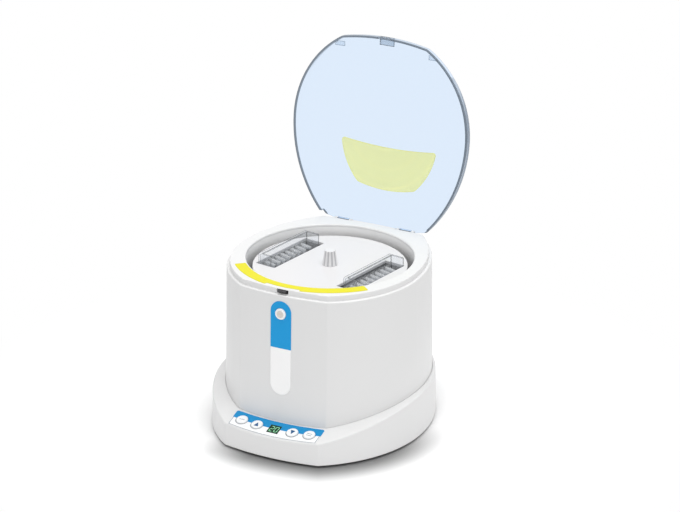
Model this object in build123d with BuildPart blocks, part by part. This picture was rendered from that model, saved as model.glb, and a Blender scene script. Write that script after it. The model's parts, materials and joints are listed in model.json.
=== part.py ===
from build123d import *
import os
from math import cos, pi, radians, sin, tan

os.makedirs("parts", exist_ok=True)

# Microplate centrifuge. Two plates stand in a rotor that turns in a round chamber.
# Millimetres. The rotor's axis is Z, the bench is Z = 0, the front is -Y.

# Fits and gaps
pin_fit = 0.05
seam_gap = 0.3
travel_gap = 0.1
smallest_round = 0.5

# Chamber opening, which the body is laid out around
opening_radius = 90.0
opening_round = 1.2

# Plan of the body at its shoulder
rim_front_width = 18.3
rim_side_width = 16.2
rim_rear_width = 17.3
body_front = opening_radius + rim_front_width
body_half_width = opening_radius + rim_side_width
body_rear = opening_radius + rim_rear_width
body_corner_x = 51.5
body_front_bulge = 5.1
body_corner_y = body_front - body_front_bulge
body_widest_y = -6.5
body_rear_x = 63.0
body_rear_bulge = 5.3
body_rear_y = body_rear - body_rear_bulge
body_round = 6.0
front_draft = 1.5
side_draft = 1.1
body_wall = 2.8
body_foot_z = 22.0
shoulder_z = 176.4
shoulder_round = 1.2
rim_top_z = 182.6
rim_inset = 3.4
rim_thickness = 3.0
rim_round = 0.8

# Plan of the base at its foot
base_bottom_z = 3.0
base_front_margin = 30.4
base_side_margin = 10.5
base_rear_margin = 3.3
base_front = body_front + base_front_margin
base_half_width = body_half_width + base_side_margin
base_rear = body_rear + base_rear_margin
base_corner_x = 56.0
base_front_bulge = 6.2
base_corner_y = base_front - base_front_bulge
base_widest_y = -16.0
base_rear_x = 60.0
base_rear_bulge = 0.6
base_rear_y = base_rear - base_rear_bulge
base_round = 5.0
base_draft = 1.0
base_wall = 2.5
base_edge_round = 1.6

# Deck of the base: a sloped shelf, then an arc up to the level part
shelf_slope = 16.5
shelf_gap = 1.7
shelf_back_y = -body_front - shelf_gap
deck_top_z = 50.1
deck_radius = -shelf_back_y / sin(radians(shelf_slope))
shelf_back_z = deck_top_z - deck_radius * (1 - cos(radians(shelf_slope)))
shelf = Plane(
    origin=(0, shelf_back_y, shelf_back_z),
    x_dir=(1, 0, 0),
    z_dir=(0, -sin(radians(shelf_slope)), cos(radians(shelf_slope))),
)

# Bottom plate, feet and bottom screws
plate_thickness = 2.5
bottom_plate_top_z = base_bottom_z + plate_thickness
vent_length = 26.0
vent_width = 2.6
foot_radius = 10.0
foot_places = [(-72.0, -92.0), (72.0, -92.0), (-74.0, 66.0), (74.0, 66.0)]
screw_radius = 1.5
screw_head_radius = 2.8
screw_head_height = 1.6
boss_radius = 4.2
body_boss_top_z = 60.0
body_boss_inset = 14.2
body_boss_x = body_half_width - body_boss_inset
body_boss_front_y = -48.0
body_boss_rear_y = 50.0
base_boss_top_z = 18.0
base_boss_spread = 7.0
base_boss_front_inset = 31.7
base_boss_rear_inset = 20.6
base_boss_front_x = base_corner_x + base_boss_spread
base_boss_front_y = base_boss_front_inset - base_front
base_boss_rear_y = base_rear - base_boss_rear_inset
boss_hole_depth = 9.0

# Chamber bowl with the motor tower
bowl_wall = 2.2
bowl_floor_z = 46.0
bowl_narrowing = 2.0
bowl_floor_radius = opening_radius - bowl_narrowing
bowl_corner_round = 8.0
tower_radius = 36.0
tower_top_z = 114.5
tower_wall = 2.5
tower_hole_radius = 7.0
lug_reach = 9.0
lug_radius_out = opening_radius + lug_reach
lug_width = 9.0
lug_thickness = 3.0
lug_drop = 5.8
lug_screw_inset = 3.4
lug_screw_radius_at = lug_radius_out - lug_screw_inset
lug_angles = [35.0, 145.0, 215.0, 325.0]

# Motor, from its plate upwards
motor_plate_z = 34.0
motor_plate_thickness = 3.0
motor_plate_radius = 52.0
motor_plate_hole_radius = 9.0
damper_circle_radius = 44.0
damper_radius = 6.0
motor_radius = 28.0
motor_can_wall = 1.6
motor_can_height = 58.0
motor_cap_thickness = 3.0
motor_boss_radius = 10.5
motor_screw_circle_radius = 20.0
bearing_radius = 8.0
bearing_height = 5.0
core_inner_radius = 12.0
core_height = 40.0
core_gap = 0.6
shaft_radius = 4.0
shaft_top_z = 150.0
seal_height = 3.0
seal_radius = 9.0

# Rotor, turned a little at rest
rotor_rest_turn = -8.7
disc_gap = 7.0
disc_radius = opening_radius - disc_gap
disc_top_z = 172.3
disc_thickness = 3.0
disc_edge_round = 0.8
slot_inner = 41.1
slot_width = 25.2
slot_length = 88.0
carrier_wall = 2.0
carrier_floor_top_z = 55.3
tab_length = 9.0
tab_width = 16.0
hub_radius = 11.0
hub_bottom_z = 120.0
hub_plate_length = 77.4
hub_plate_width = 56.0
hub_plate_thickness = 4.0
knob_foot_radius = 8.2
knob_top_radius = 5.8
knob_height = 16.5
knob_flutes = 10
knob_flute_radius = 1.5
knob_stud_radius = 3.0
knob_stud_length = 18.0

# Microplate: 96 wells, standing on its short side
plate_short = 85.48
plate_long = 127.76
plate_depth = 17.0
right_deck_x = 49.1
left_deck_x = -64.0
plate_corner_round = 3.0
plate_low_skirt = 4.0
plate_bottom_z = 55.5
plate_deck = 1.5
plate_skirt = 1.2
well_pitch = 9.0
well_columns = 8
well_rows = 12
tube_radius = 3.3
tube_length = 14.3
tube_wall = 0.45

# Open button and latch
button_z = 156.0
button_radius = 6.1
button_proud = 1.5
button_flange_radius = 7.4
button_flange_thickness = 1.4
button_flange_gap = 0.4
button_stem_radius = 2.0
button_dimple_radius = 7.0
latch_pivot_z = 120.0
latch_pin_radius = 1.5
latch_arm_inset = 10.4
latch_arm_back_y = body_front - latch_arm_inset
latch_arm_thickness = 2.4
latch_arm_width = 10.0
latch_hub_radius = 4.0
nose_proud = 2.1
nose_bottom_z = 179.4
nose_top_z = 181.2
latch_slot_width = 13.4
latch_slot_low_z = 177.2
latch_slot_high_z = 181.8
latch_slot_depth = 10.0

# Badge on the front
badge_width = 24.2
badge_top_z = 170.0
badge_bottom_z = 64.6
badge_split_z = 117.2
badge_thickness = 0.5

# Control panel, measured along the shelf from its back edge
panel_half_width = 52.6
panel_front = -23.0
panel_front_middle = -28.0
panel_back_middle = -4.0
panel_thickness = 0.5
panel_round = 2.0
key_radius = 6.4
key_gap = 0.3
key_proud = 1.3
key_flange_radius = 7.6
key_flange_thickness = 1.2
key_stem_radius = 1.5
key_stem_length = 1.2
key_travel = 0.6
outer_key_x = 40.4
outer_key_y = -12.8
inner_key_x = 21.2
inner_key_y = -15.0
display_width = 13.0
display_height = 12.2
display_middle_y = -15.9
switch_size = 6.0
switch_height = 3.4
board_thickness = 1.6
control_board_length = 100.0
control_board_back = -8.0
control_board_front = -22.6
board_post_x = 30.8
board_post_y = -20.0
board_post_radius = 2.2
board_post_hole_radius = 1.0

# Lid, measured from its hinge line while closed
hinge_inset = 4.1
hinge_y = body_rear - hinge_inset
hinge_z = 180.2
lid_opening = 96.8
lid_inset = 0.8
lid_wall = 2.2
lid_skirt_bottom_z = shoulder_z + 0.6
lid_crown_z = 197.5
lid_crown_radius = 540.0
lid_edge_round = 4.0
lid_rear_y = 1.5
lid_skirt_end = 7.0
lid_rear_clear_z = rim_top_z + 0.6
hinge_x = 38.0
barrel_length = 14.0
barrel_radius = 2.9
hinge_pin_radius = 1.25
ear_thickness = 3.4
ear_gap = 0.2
ear_radius = 2.6
hinge_recess_gap = 0.6
hook_width = 17.0
hook_window_width = 11.2
hook_reach = 7.5
hook_thickness = 1.3
film_thickness = 0.4

# Yellow strip along the front of the opening
strip_thickness = 0.3
strip_gap = 1.8
strip_narrow_width = 8.6
strip_wide_width = 12.2
strip_inner_radius = opening_radius + strip_gap
strip_narrow_radius = strip_inner_radius + strip_narrow_width
strip_wide_radius = strip_inner_radius + strip_wide_width
strip_left_angle = -48.5
strip_right_angle = 50.5
strip_narrow_left = -13.0
strip_narrow_right = 10.0
strip_corner_round = 1.6

# Power inlet and switch on the rear wall
rear_parts_z = 14.0
inlet_x = 34.0
inlet_radius = 5.4
inlet_flange_radius = 7.0
inlet_depth = 12.0
inlet_bore_radius = 3.2
inlet_bore_depth = 9.0
inlet_pin_radius = 1.0
rocker_x = -34.0
frame_width = 21.0
frame_height = 14.5
frame_body_width = 19.0
frame_body_height = 12.5
frame_body_depth = 13.0
rocker_width = 15.6
rocker_gap = 0.5
rocker_height = 9.6
rocker_tilt = 8.0

# Main board in the base
main_board_z = 12.0
main_board_x = 92.0
main_board_y = 42.0
main_board_inset = 38.6
main_board_middle_y = base_rear - main_board_inset
standoff_radius = 3.0


# Levels and places worked out from the sizes above
motor_can_floor = 2.5
motor_seat_z = motor_plate_z + motor_plate_thickness
motor_can_top_z = motor_seat_z + motor_can_height
winding_height = 5.0
tower_lean = 0.5
bowl_top_z = rim_top_z - rim_thickness
lug_top_z = bowl_top_z - lug_drop
lug_boss_radius = 3.2
lug_hole_depth = 6.0
step_front_y = body_front - rim_inset
lid_front_y = body_front - lid_inset
nose_tip_y = step_front_y + nose_proud
hook_clearance = 0.5
hook_top_z = rim_top_z + 2.2
latch_pivot_inset = 9.2
latch_pivot_y = body_front - latch_pivot_inset
latch_arm_front_y = latch_arm_back_y + latch_arm_thickness
latch_arm_middle_y = latch_arm_back_y + latch_arm_thickness / 2
latch_narrow_height = 8.0
latch_hub_width = 4.4
bracket_half_width = 6.4
bracket_thickness = 1.8
bracket_plate_width = 28.0
bracket_plate_height = 20.0
bracket_front_y = body_front - body_wall + 0.8
spring_pitch = 0.8
spring_turns = 3
spring_radius = 2.1
spring_wire_radius = 0.35
spring_leg_length = 7.0
lid_switch_x = 20.0
lid_switch_z = 163.0
lid_switch_front_y = body_front - body_wall - 1.5
wall_peg_radius = 1.1
wall_peg_reach = 5.7
wall_peg_end = body_front - wall_peg_reach
wall_peg_places = [
    (-11.0, 116.0),
    (11.0, 116.0),
    (lid_switch_x - 4.2, lid_switch_z - 1.4),
    (lid_switch_x + 4.2, lid_switch_z - 1.4),
]
foot_peg_radius = 3.0
web_thickness = 3.0
hub_screw_x = 31.0
hub_screw_y = 21.0
tube_taper = 6.8
board_post_hole_depth = 4.0
key_flange_top = -base_wall - travel_gap
board_top_level = key_flange_top - key_flange_thickness - key_stem_length - key_travel - travel_gap - switch_height
key_places = {
    "key_start": (-outer_key_x, outer_key_y),
    "key_up": (-inner_key_x, inner_key_y),
    "key_down": (inner_key_x, inner_key_y),
    "key_stop": (outer_key_x, outer_key_y),
}
rear_seat_y = base_rear - 1.0
ribbon_x = 30.0
ribbon_width = 12.0
ribbon_thickness = 0.9
ribbon_low_z = 8.5
hinge_floor_z = shoulder_z - 2.0
hinge_bracket_floor = 2.0
hinge_recess_front_y = hinge_y - barrel_radius - hinge_recess_gap
hinge_recess_width = barrel_length + 2 * (ear_gap + ear_thickness + hinge_recess_gap)
hinge_neck_top_z = lid_rear_clear_z + 2.0
hinge_peg_radius = 1.5
hinge_pocket_wall = 1.6
hinge_peg_places = [(side * hinge_x + end * 7.0, hinge_y - 1.2) for side in (-1, 1) for end in (-1, 1)]
bumper_x = 56.5
bumper_inset = 15.1
bumper_y = lid_front_y - bumper_inset
bumper_width = 11.0
bumper_depth = 5.0
film_middle_x = 5.6
film_wide_x = 58.0
film_wide_y = 12.5
film_narrow_x = 35.0
film_narrow_y = 59.5
film_side_x = 49.5
film_side_y = 40.0
film_hollow = 4.8
film_round = 3.0
body_boss_places = [
    (side * body_boss_x, y) for y in (body_boss_front_y, body_boss_rear_y) for side in (-1, 1)
]
base_boss_places = [
    (side * x, y)
    for x, y in ((base_boss_front_x, base_boss_front_y), (base_rear_x, base_boss_rear_y))
    for side in (-1, 1)
]


def sloped(size, drop, degrees_of_draft):
    """A size that grows with the drop below its own level."""
    return size + drop * tan(radians(degrees_of_draft))


def arc_centre(first, middle, last):
    """Centre of the circle through three points."""
    (ax, ay), (bx, by), (cx, cy) = first, middle, last
    twice_area = 2 * (ax * (by - cy) + bx * (cy - ay) + cx * (ay - by))
    a_square = ax * ax + ay * ay
    b_square = bx * bx + by * by
    c_square = cx * cx + cy * cy
    x = (a_square * (by - cy) + b_square * (cy - ay) + c_square * (ay - by)) / twice_area
    y = (a_square * (cx - bx) + b_square * (ax - cx) + c_square * (bx - ax)) / twice_area
    return Vector(x, y)


def grown_corner(corner, first_centre, second_centre, grow):
    """Corner of two arcs, moved until both arcs lie further out by the same amount."""
    first = (Vector(*corner) - first_centre).normalized()
    second = (Vector(*corner) - second_centre).normalized()
    moved = Vector(*corner) + (first + second) * (grow / (1 + first.dot(second)))
    return (moved.X, moved.Y)


def side_centre(side, corner):
    """Centre of the arc that leaves the widest point along Y and ends at a corner."""
    across = side[0] - corner[0]
    along = side[1] - corner[1]
    return Vector(side[0] - (across * across + along * along) / (2 * across), side[1])


def plan(plane, front, corner, side, rear_corner, rear, round_radius, grow):
    """Closed plan of arcs: front, two on each side that meet where the plan is widest, and rear."""
    front_centre = arc_centre((-corner[0], -corner[1]), (0, -front), (corner[0], -corner[1]))
    rear_centre = arc_centre(rear_corner, (0, rear), (-rear_corner[0], rear_corner[1]))
    front_corner = (corner[0], -corner[1])
    front_x, front_y = grown_corner(front_corner, front_centre, side_centre(side, front_corner), grow)
    rear_x, rear_y = grown_corner(rear_corner, side_centre(side, rear_corner), rear_centre, grow)
    side_x, side_y = side[0] + grow, side[1]
    with BuildSketch(plane) as outline:
        with BuildLine():
            ThreePointArc((-front_x, front_y), (0, -front - grow), (front_x, front_y))
            TangentArc((side_x, side_y), (front_x, front_y), tangent=(0, -1))
            TangentArc((side_x, side_y), (rear_x, rear_y), tangent=(0, 1))
            ThreePointArc((rear_x, rear_y), (0, rear + grow), (-rear_x, rear_y))
            TangentArc((-side_x, side_y), (-rear_x, rear_y), tangent=(0, 1))
            TangentArc((-side_x, side_y), (-front_x, front_y), tangent=(0, -1))
        make_face()
        corners = outline.vertices().filter_by(lambda vertex: abs(vertex.Y - side_y) > smallest_round)
        fillet(corners, radius=max(round_radius + grow, smallest_round))
    return outline.sketch


def body_plan(z, grow=0.0):
    drop = max(shoulder_z - z, 0.0)
    return plan(
        Plane.XY.offset(z),
        sloped(body_front, drop, front_draft),
        (sloped(body_corner_x, drop, side_draft / 4), sloped(body_corner_y, drop, front_draft)),
        (sloped(body_half_width, drop, side_draft), body_widest_y),
        (sloped(body_rear_x, drop, side_draft / 4), sloped(body_rear_y, drop, side_draft / 2)),
        sloped(body_rear, drop, side_draft / 2),
        body_round,
        grow,
    )


def base_plan(z, grow=0.0):
    drop = base_bottom_z - z
    return plan(
        Plane.XY.offset(z),
        sloped(base_front, drop, base_draft),
        (sloped(base_corner_x, drop, base_draft), sloped(base_corner_y, drop, base_draft)),
        (sloped(base_half_width, drop, base_draft), base_widest_y),
        (base_rear_x, sloped(base_rear_y, drop, base_draft)),
        sloped(base_rear, drop, base_draft),
        base_round,
        grow,
    )


def body_block(low_z, high_z, grow=0.0):
    """Solid body with drafted walls between two heights."""
    with BuildPart() as block:
        loft([body_plan(low_z, grow), body_plan(high_z, grow)], ruled=True)
    return block.part


def base_block(low_z, shrink=0.0):
    """Solid base under its deck, drawn in by a wall where one is given."""
    sky_z = deck_top_z + 30
    with BuildPart() as block:
        loft([base_plan(low_z, -shrink), base_plan(sky_z, -shrink)], ruled=True)
        with BuildSketch(Plane.YZ) as sky:
            front_y = -base_front - 20
            front_z = shelf_back_z - (shelf_back_y - front_y) * tan(radians(shelf_slope))
            middle = radians(shelf_slope / 2)
            with BuildLine():
                Line((front_y, front_z), (shelf_back_y, shelf_back_z))
                ThreePointArc(
                    (shelf_back_y, shelf_back_z),
                    (-deck_radius * sin(middle), deck_top_z - deck_radius * (1 - cos(middle))),
                    (0, deck_top_z),
                )
                Line((0, deck_top_z), (base_rear + 20, deck_top_z))
                Line((base_rear + 20, deck_top_z), (base_rear + 20, sky_z + 10))
                Line((base_rear + 20, sky_z + 10), (front_y, sky_z + 10))
                Line((front_y, sky_z + 10), (front_y, front_z))
            make_face()
            if shrink > 0:
                offset(amount=shrink, kind=Kind.INTERSECTION)
        extrude(amount=base_half_width + 20, both=True, mode=Mode.SUBTRACT)
    return block.part


def rotor_turned(part):
    """The rotor's rest turn about its axis."""
    return part.rotate(Axis.Z, rotor_rest_turn)


def swung_open(part):
    """A piece of the lid, drawn closed, swung back about the hinge line."""
    return part.rotate(Axis((0, hinge_y, hinge_z), (1, 0, 0)), -lid_opening)


def save(part, name):
    part.label = name
    export_step(part, f"parts/{name}.step")


def upright_screws(plane, places, head_level, seat_level, tip_level, shank_radius, head_radius):
    """A group of like screws along a plane's normal, each with a hexagon socket in its head."""
    head_height = seat_level - head_level
    with BuildPart() as group:
        with BuildSketch(plane.offset(head_level)):
            with Locations(*places):
                Circle(head_radius)
        extrude(amount=head_height)
        with BuildSketch(plane.offset(head_level)):
            with Locations(*places):
                RegularPolygon(head_radius * 0.5, 6)
        extrude(amount=head_height * 0.6, mode=Mode.SUBTRACT)
        with BuildSketch(plane.offset(seat_level)):
            with Locations(*places):
                Circle(shank_radius)
        extrude(amount=tip_level - seat_level)
    return group.part


def ring(low_z, high_z, inner_radius, outer_radius):
    """Round ring on the rotor's axis."""
    with BuildPart() as piece:
        with BuildSketch(Plane.XY.offset(low_z)):
            Circle(outer_radius)
            if inner_radius > 0:
                Circle(inner_radius, mode=Mode.SUBTRACT)
        extrude(amount=high_z - low_z)
    return piece.part


# Base shell: side wall and deck in one moulding, open below
with BuildPart() as base_webs:
    for x, y in base_boss_places:
        with BuildSketch(Plane(origin=(x, y, bottom_plate_top_z), x_dir=(x, y, 0))):
            Rectangle(40, web_thickness, align=(Align.MIN, Align.CENTER))
        extrude(amount=base_boss_top_z - bottom_plate_top_z)
    add(base_block(base_bottom_z, base_wall / 2), mode=Mode.INTERSECT)

with BuildPart() as base_shell:
    add(base_block(base_bottom_z))
    deck_edges = base_shell.edges().filter_by(lambda edge: edge.bounding_box().min.Z > base_bottom_z + 5)
    fillet(deck_edges.filter_by(lambda edge: edge.bounding_box().size.Y > 0.05), radius=base_edge_round)
    add(base_block(base_bottom_z - 1, base_wall), mode=Mode.SUBTRACT)
    add(body_block(body_foot_z - seam_gap, shoulder_z, seam_gap), mode=Mode.SUBTRACT)
    add(base_webs.part)
    with BuildSketch(Plane.XY.offset(bottom_plate_top_z)):
        with Locations(*base_boss_places):
            Circle(boss_radius)
    extrude(amount=base_boss_top_z - bottom_plate_top_z)
    with BuildSketch(Plane.XY.offset(bottom_plate_top_z)):
        with Locations(*base_boss_places):
            Circle(screw_radius + pin_fit)
    extrude(amount=boss_hole_depth, mode=Mode.SUBTRACT)
    # Posts under the shelf hold the control board
    with BuildSketch(shelf.offset(board_top_level)):
        with Locations((-board_post_x, board_post_y), (board_post_x, board_post_y)):
            Circle(board_post_radius)
    extrude(amount=-base_wall / 2 - board_top_level)
    with BuildSketch(shelf.offset(board_top_level)):
        with Locations((-board_post_x, board_post_y), (board_post_x, board_post_y)):
            Circle(board_post_hole_radius)
    extrude(amount=board_post_hole_depth, mode=Mode.SUBTRACT)
    # Key holes and the display's opening
    with BuildSketch(shelf.offset(-base_wall * 2)):
        with Locations(*key_places.values()):
            Circle(key_radius + key_gap)
        with Locations((0, display_middle_y)):
            Rectangle(display_width + 2 * travel_gap, display_height + 2 * travel_gap)
    extrude(amount=base_wall * 4, mode=Mode.SUBTRACT)
    # Flat seats and holes for the power inlet and the switch
    with BuildSketch(Plane.XZ.offset(-rear_seat_y)):
        with Locations((inlet_x, rear_parts_z)):
            Circle(inlet_flange_radius + seam_gap)
        with Locations((rocker_x, rear_parts_z)):
            Rectangle(frame_width + 2 * seam_gap, frame_height + 2 * seam_gap)
    extrude(amount=-base_wall * 2, mode=Mode.SUBTRACT)
    with BuildSketch(Plane.XZ.offset(-rear_seat_y)):
        with Locations((inlet_x, rear_parts_z)):
            Circle(inlet_radius + travel_gap)
        with Locations((rocker_x, rear_parts_z)):
            Rectangle(frame_body_width + 2 * travel_gap, frame_body_height + 2 * travel_gap)
    extrude(amount=base_wall * 2, mode=Mode.SUBTRACT)
save(base_shell.part, "base_shell")

# Bottom plate with vents, standoffs and recessed screw holes
with BuildPart() as bottom_plate:
    loft(
        [
            base_plan(base_bottom_z, -base_wall - seam_gap),
            base_plan(bottom_plate_top_z, -base_wall - seam_gap),
        ],
        ruled=True,
    )
    with BuildSketch(Plane.XY.offset(bottom_plate_top_z)):
        with Locations((0, main_board_middle_y)):
            with GridLocations(main_board_x - 8, main_board_y - 8, 2, 2):
                Circle(standoff_radius)
    extrude(amount=main_board_z - bottom_plate_top_z)
    with BuildSketch(Plane.XY.offset(main_board_z)):
        with Locations((0, main_board_middle_y)):
            with GridLocations(main_board_x - 8, main_board_y - 8, 2, 2):
                Circle(board_post_hole_radius)
    extrude(amount=-board_post_hole_depth, mode=Mode.SUBTRACT)
    with BuildSketch(Plane.XY.offset(base_bottom_z)):
        with GridLocations(vent_length + 8, vent_width * 2.6, 3, 7):
            SlotOverall(vent_length, vent_width)
        with Locations(*foot_places):
            Circle(foot_peg_radius + pin_fit)
        with Locations(*(body_boss_places + base_boss_places)):
            Circle(screw_radius + pin_fit)
    extrude(amount=plate_thickness, mode=Mode.SUBTRACT)
    with BuildSketch(Plane.XY.offset(base_bottom_z)):
        with Locations(*(body_boss_places + base_boss_places)):
            Circle(screw_head_radius + travel_gap)
    extrude(amount=screw_head_height, mode=Mode.SUBTRACT)
save(bottom_plate.part, "bottom_plate")

# Rubber feet with pegs that snap into the bottom plate
with BuildPart() as rubber_feet:
    with BuildSketch():
        with Locations(*foot_places):
            Circle(foot_radius)
    extrude(amount=base_bottom_z, taper=4)
    with BuildSketch(Plane.XY.offset(base_bottom_z)):
        with Locations(*foot_places):
            Circle(foot_peg_radius)
    extrude(amount=plate_thickness)
    with BuildSketch(Plane.XY.offset(bottom_plate_top_z)):
        with Locations(*foot_places):
            Circle(foot_peg_radius + 1.2)
    extrude(amount=1.6)
save(rubber_feet.part, "rubber_feet")

bottom_screws = upright_screws(
    Plane.XY,
    body_boss_places + base_boss_places,
    base_bottom_z,
    base_bottom_z + screw_head_height,
    bottom_plate_top_z + boss_hole_depth - 1,
    screw_radius,
    screw_head_radius,
)
save(bottom_screws, "bottom_screws")

# Pegs on the front wall for the latch bracket and the lid switch
with BuildPart() as wall_pegs:
    with BuildSketch(Plane.XZ.offset(wall_peg_end)):
        with Locations(*wall_peg_places):
            Circle(wall_peg_radius)
    extrude(amount=base_front - wall_peg_end)
    add(body_block(body_foot_z, shoulder_z, -body_wall / 2), mode=Mode.INTERSECT)

# Body shell: drafted wall, shoulder, raised rim with the chamber's opening
with BuildPart() as body_shell:
    add(body_block(body_foot_z, shoulder_z))
    fillet(body_shell.faces().sort_by(Axis.Z)[-1].edges(), radius=shoulder_round)
    add(body_block(shoulder_z, rim_top_z, -rim_inset))
    fillet(body_shell.faces().sort_by(Axis.Z)[-1].edges(), radius=rim_round)
    add(body_block(body_foot_z - 1, shoulder_z - body_wall, -body_wall), mode=Mode.SUBTRACT)
    add(body_block(shoulder_z - body_wall - 1, bowl_top_z, -rim_inset - body_wall), mode=Mode.SUBTRACT)
    with BuildSketch(Plane.XY.offset(rim_top_z)):
        Circle(opening_radius)
    extrude(amount=-rim_thickness * 2, mode=Mode.SUBTRACT)
    mouth = body_shell.edges().filter_by(GeomType.CIRCLE).filter_by(
        lambda edge: abs(edge.radius - opening_radius) < 0.01
    )
    fillet(mouth.sort_by(Axis.Z)[-1:], radius=opening_round)
    # Posts down to the bottom plate
    with BuildSketch(Plane.XY.offset(bottom_plate_top_z)):
        with Locations(*body_boss_places):
            Circle(boss_radius)
    extrude(amount=body_boss_top_z - bottom_plate_top_z)
    with BuildSketch(Plane.XY.offset(bottom_plate_top_z)):
        with Locations(*body_boss_places):
            Circle(screw_radius + pin_fit)
    extrude(amount=boss_hole_depth, mode=Mode.SUBTRACT)
    # Bosses under the rim for the bowl's lugs
    with BuildSketch(Plane.XY.offset(lug_top_z)):
        for angle in lug_angles:
            with PolarLocations(lug_screw_radius_at, 1, start_angle=angle):
                Circle(lug_boss_radius)
    extrude(amount=rim_top_z - rim_thickness / 2 - lug_top_z)
    with BuildSketch(Plane.XY.offset(lug_top_z)):
        for angle in lug_angles:
            with PolarLocations(lug_screw_radius_at, 1, start_angle=angle):
                Circle(screw_radius + pin_fit)
    extrude(amount=lug_hole_depth, mode=Mode.SUBTRACT)
    # Slot for the latch's nose, in the step and under the rim's skin
    with BuildSketch(Plane.XZ.offset(step_front_y + 1)):
        with Locations((0, (latch_slot_low_z + latch_slot_high_z) / 2)):
            Rectangle(latch_slot_width, latch_slot_high_z - latch_slot_low_z)
    extrude(amount=-latch_slot_depth - 1, mode=Mode.SUBTRACT)
    # Hole for the open button
    with BuildSketch(Plane.XZ.offset(body_front + 10)):
        with Locations((0, button_z)):
            Circle(button_radius + seam_gap)
    extrude(amount=-10 - body_wall * 2, mode=Mode.SUBTRACT)
    # Recesses for the two hinges, each in a pocket of its own, with holes for the brackets' pegs
    with BuildSketch(Plane.XY.offset(hinge_floor_z - hinge_pocket_wall)):
        with Locations((-hinge_x, hinge_recess_front_y), (hinge_x, hinge_recess_front_y)):
            Rectangle(
                hinge_recess_width + 2 * hinge_pocket_wall,
                2 * hinge_pocket_wall,
                align=(Align.CENTER, Align.CENTER),
            )
    extrude(amount=rim_top_z - rim_thickness / 2 - hinge_floor_z + hinge_pocket_wall)
    with BuildSketch(Plane.XY.offset(hinge_floor_z - hinge_pocket_wall)):
        with Locations((-hinge_x, hinge_recess_front_y), (hinge_x, hinge_recess_front_y)):
            Rectangle(hinge_recess_width + 2 * hinge_pocket_wall, barrel_radius, align=(Align.CENTER, Align.MIN))
    extrude(amount=hinge_pocket_wall)
    with BuildSketch(Plane.XY.offset(hinge_floor_z)):
        with Locations((-hinge_x, hinge_recess_front_y), (hinge_x, hinge_recess_front_y)):
            Rectangle(hinge_recess_width, 30, align=(Align.CENTER, Align.MIN))
    extrude(amount=20, mode=Mode.SUBTRACT)
    with BuildSketch(Plane.XY.offset(hinge_floor_z)):
        with Locations(*hinge_peg_places):
            Circle(hinge_peg_radius + pin_fit)
    extrude(amount=-body_wall * 2, mode=Mode.SUBTRACT)
    add(wall_pegs.part)
save(body_shell.part, "body_shell")

# Chamber bowl: round wall, floor and the tower over the motor
with BuildPart() as chamber_bowl:
    with BuildSketch(Plane.XZ):
        inner_corner = bowl_corner_round
        outer_corner = bowl_corner_round + bowl_wall
        diagonal = 1 - cos(pi / 4)
        with BuildLine():
            Line((opening_radius, bowl_top_z), (bowl_floor_radius, bowl_floor_z + inner_corner))
            ThreePointArc(
                (bowl_floor_radius, bowl_floor_z + inner_corner),
                (bowl_floor_radius - inner_corner * diagonal, bowl_floor_z + inner_corner * diagonal),
                (bowl_floor_radius - inner_corner, bowl_floor_z),
            )
            Polyline(
                (bowl_floor_radius - inner_corner, bowl_floor_z),
                (tower_radius + tower_lean, bowl_floor_z),
                (tower_radius, tower_top_z),
                (tower_hole_radius, tower_top_z),
                (tower_hole_radius, tower_top_z - tower_wall),
                (tower_radius - tower_wall, tower_top_z - tower_wall),
                (tower_radius + tower_lean - tower_wall, bowl_floor_z - bowl_wall),
                (bowl_floor_radius - inner_corner, bowl_floor_z - bowl_wall),
            )
            ThreePointArc(
                (bowl_floor_radius - inner_corner, bowl_floor_z - bowl_wall),
                (
                    bowl_floor_radius + bowl_wall - outer_corner * diagonal,
                    bowl_floor_z - bowl_wall + outer_corner * diagonal,
                ),
                (bowl_floor_radius + bowl_wall, bowl_floor_z + inner_corner),
            )
            Line(
                (bowl_floor_radius + bowl_wall, bowl_floor_z + inner_corner),
                (opening_radius + bowl_wall, bowl_top_z),
            )
            Line((opening_radius + bowl_wall, bowl_top_z), (opening_radius, bowl_top_z))
        make_face()
    revolve(axis=Axis.Z)
    with BuildSketch(Plane.XY.offset(lug_top_z - lug_thickness)):
        for angle in lug_angles:
            with PolarLocations((opening_radius + bowl_wall / 2 + lug_radius_out) / 2, 1, start_angle=angle):
                Rectangle(lug_radius_out - opening_radius - bowl_wall / 2, lug_width)
        for angle in lug_angles:
            with PolarLocations(lug_screw_radius_at, 1, start_angle=angle):
                Circle(screw_radius + pin_fit, mode=Mode.SUBTRACT)
    extrude(amount=lug_thickness)
    with BuildSketch(Plane.XY.offset(bowl_floor_z - bowl_wall)):
        with PolarLocations(damper_circle_radius, 4, start_angle=45):
            Circle(screw_radius + pin_fit)
    extrude(amount=bowl_wall * 0.75, mode=Mode.SUBTRACT)
save(chamber_bowl.part, "chamber_bowl")

lug_screw_places = [
    (lug_screw_radius_at * cos(radians(angle)), lug_screw_radius_at * sin(radians(angle)))
    for angle in lug_angles
]
bowl_screws = upright_screws(
    Plane.XY,
    lug_screw_places,
    lug_top_z - lug_thickness - screw_head_height,
    lug_top_z - lug_thickness,
    lug_top_z + lug_hole_depth - 0.5,
    screw_radius,
    screw_head_radius,
)
save(bowl_screws, "bowl_screws")

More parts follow.
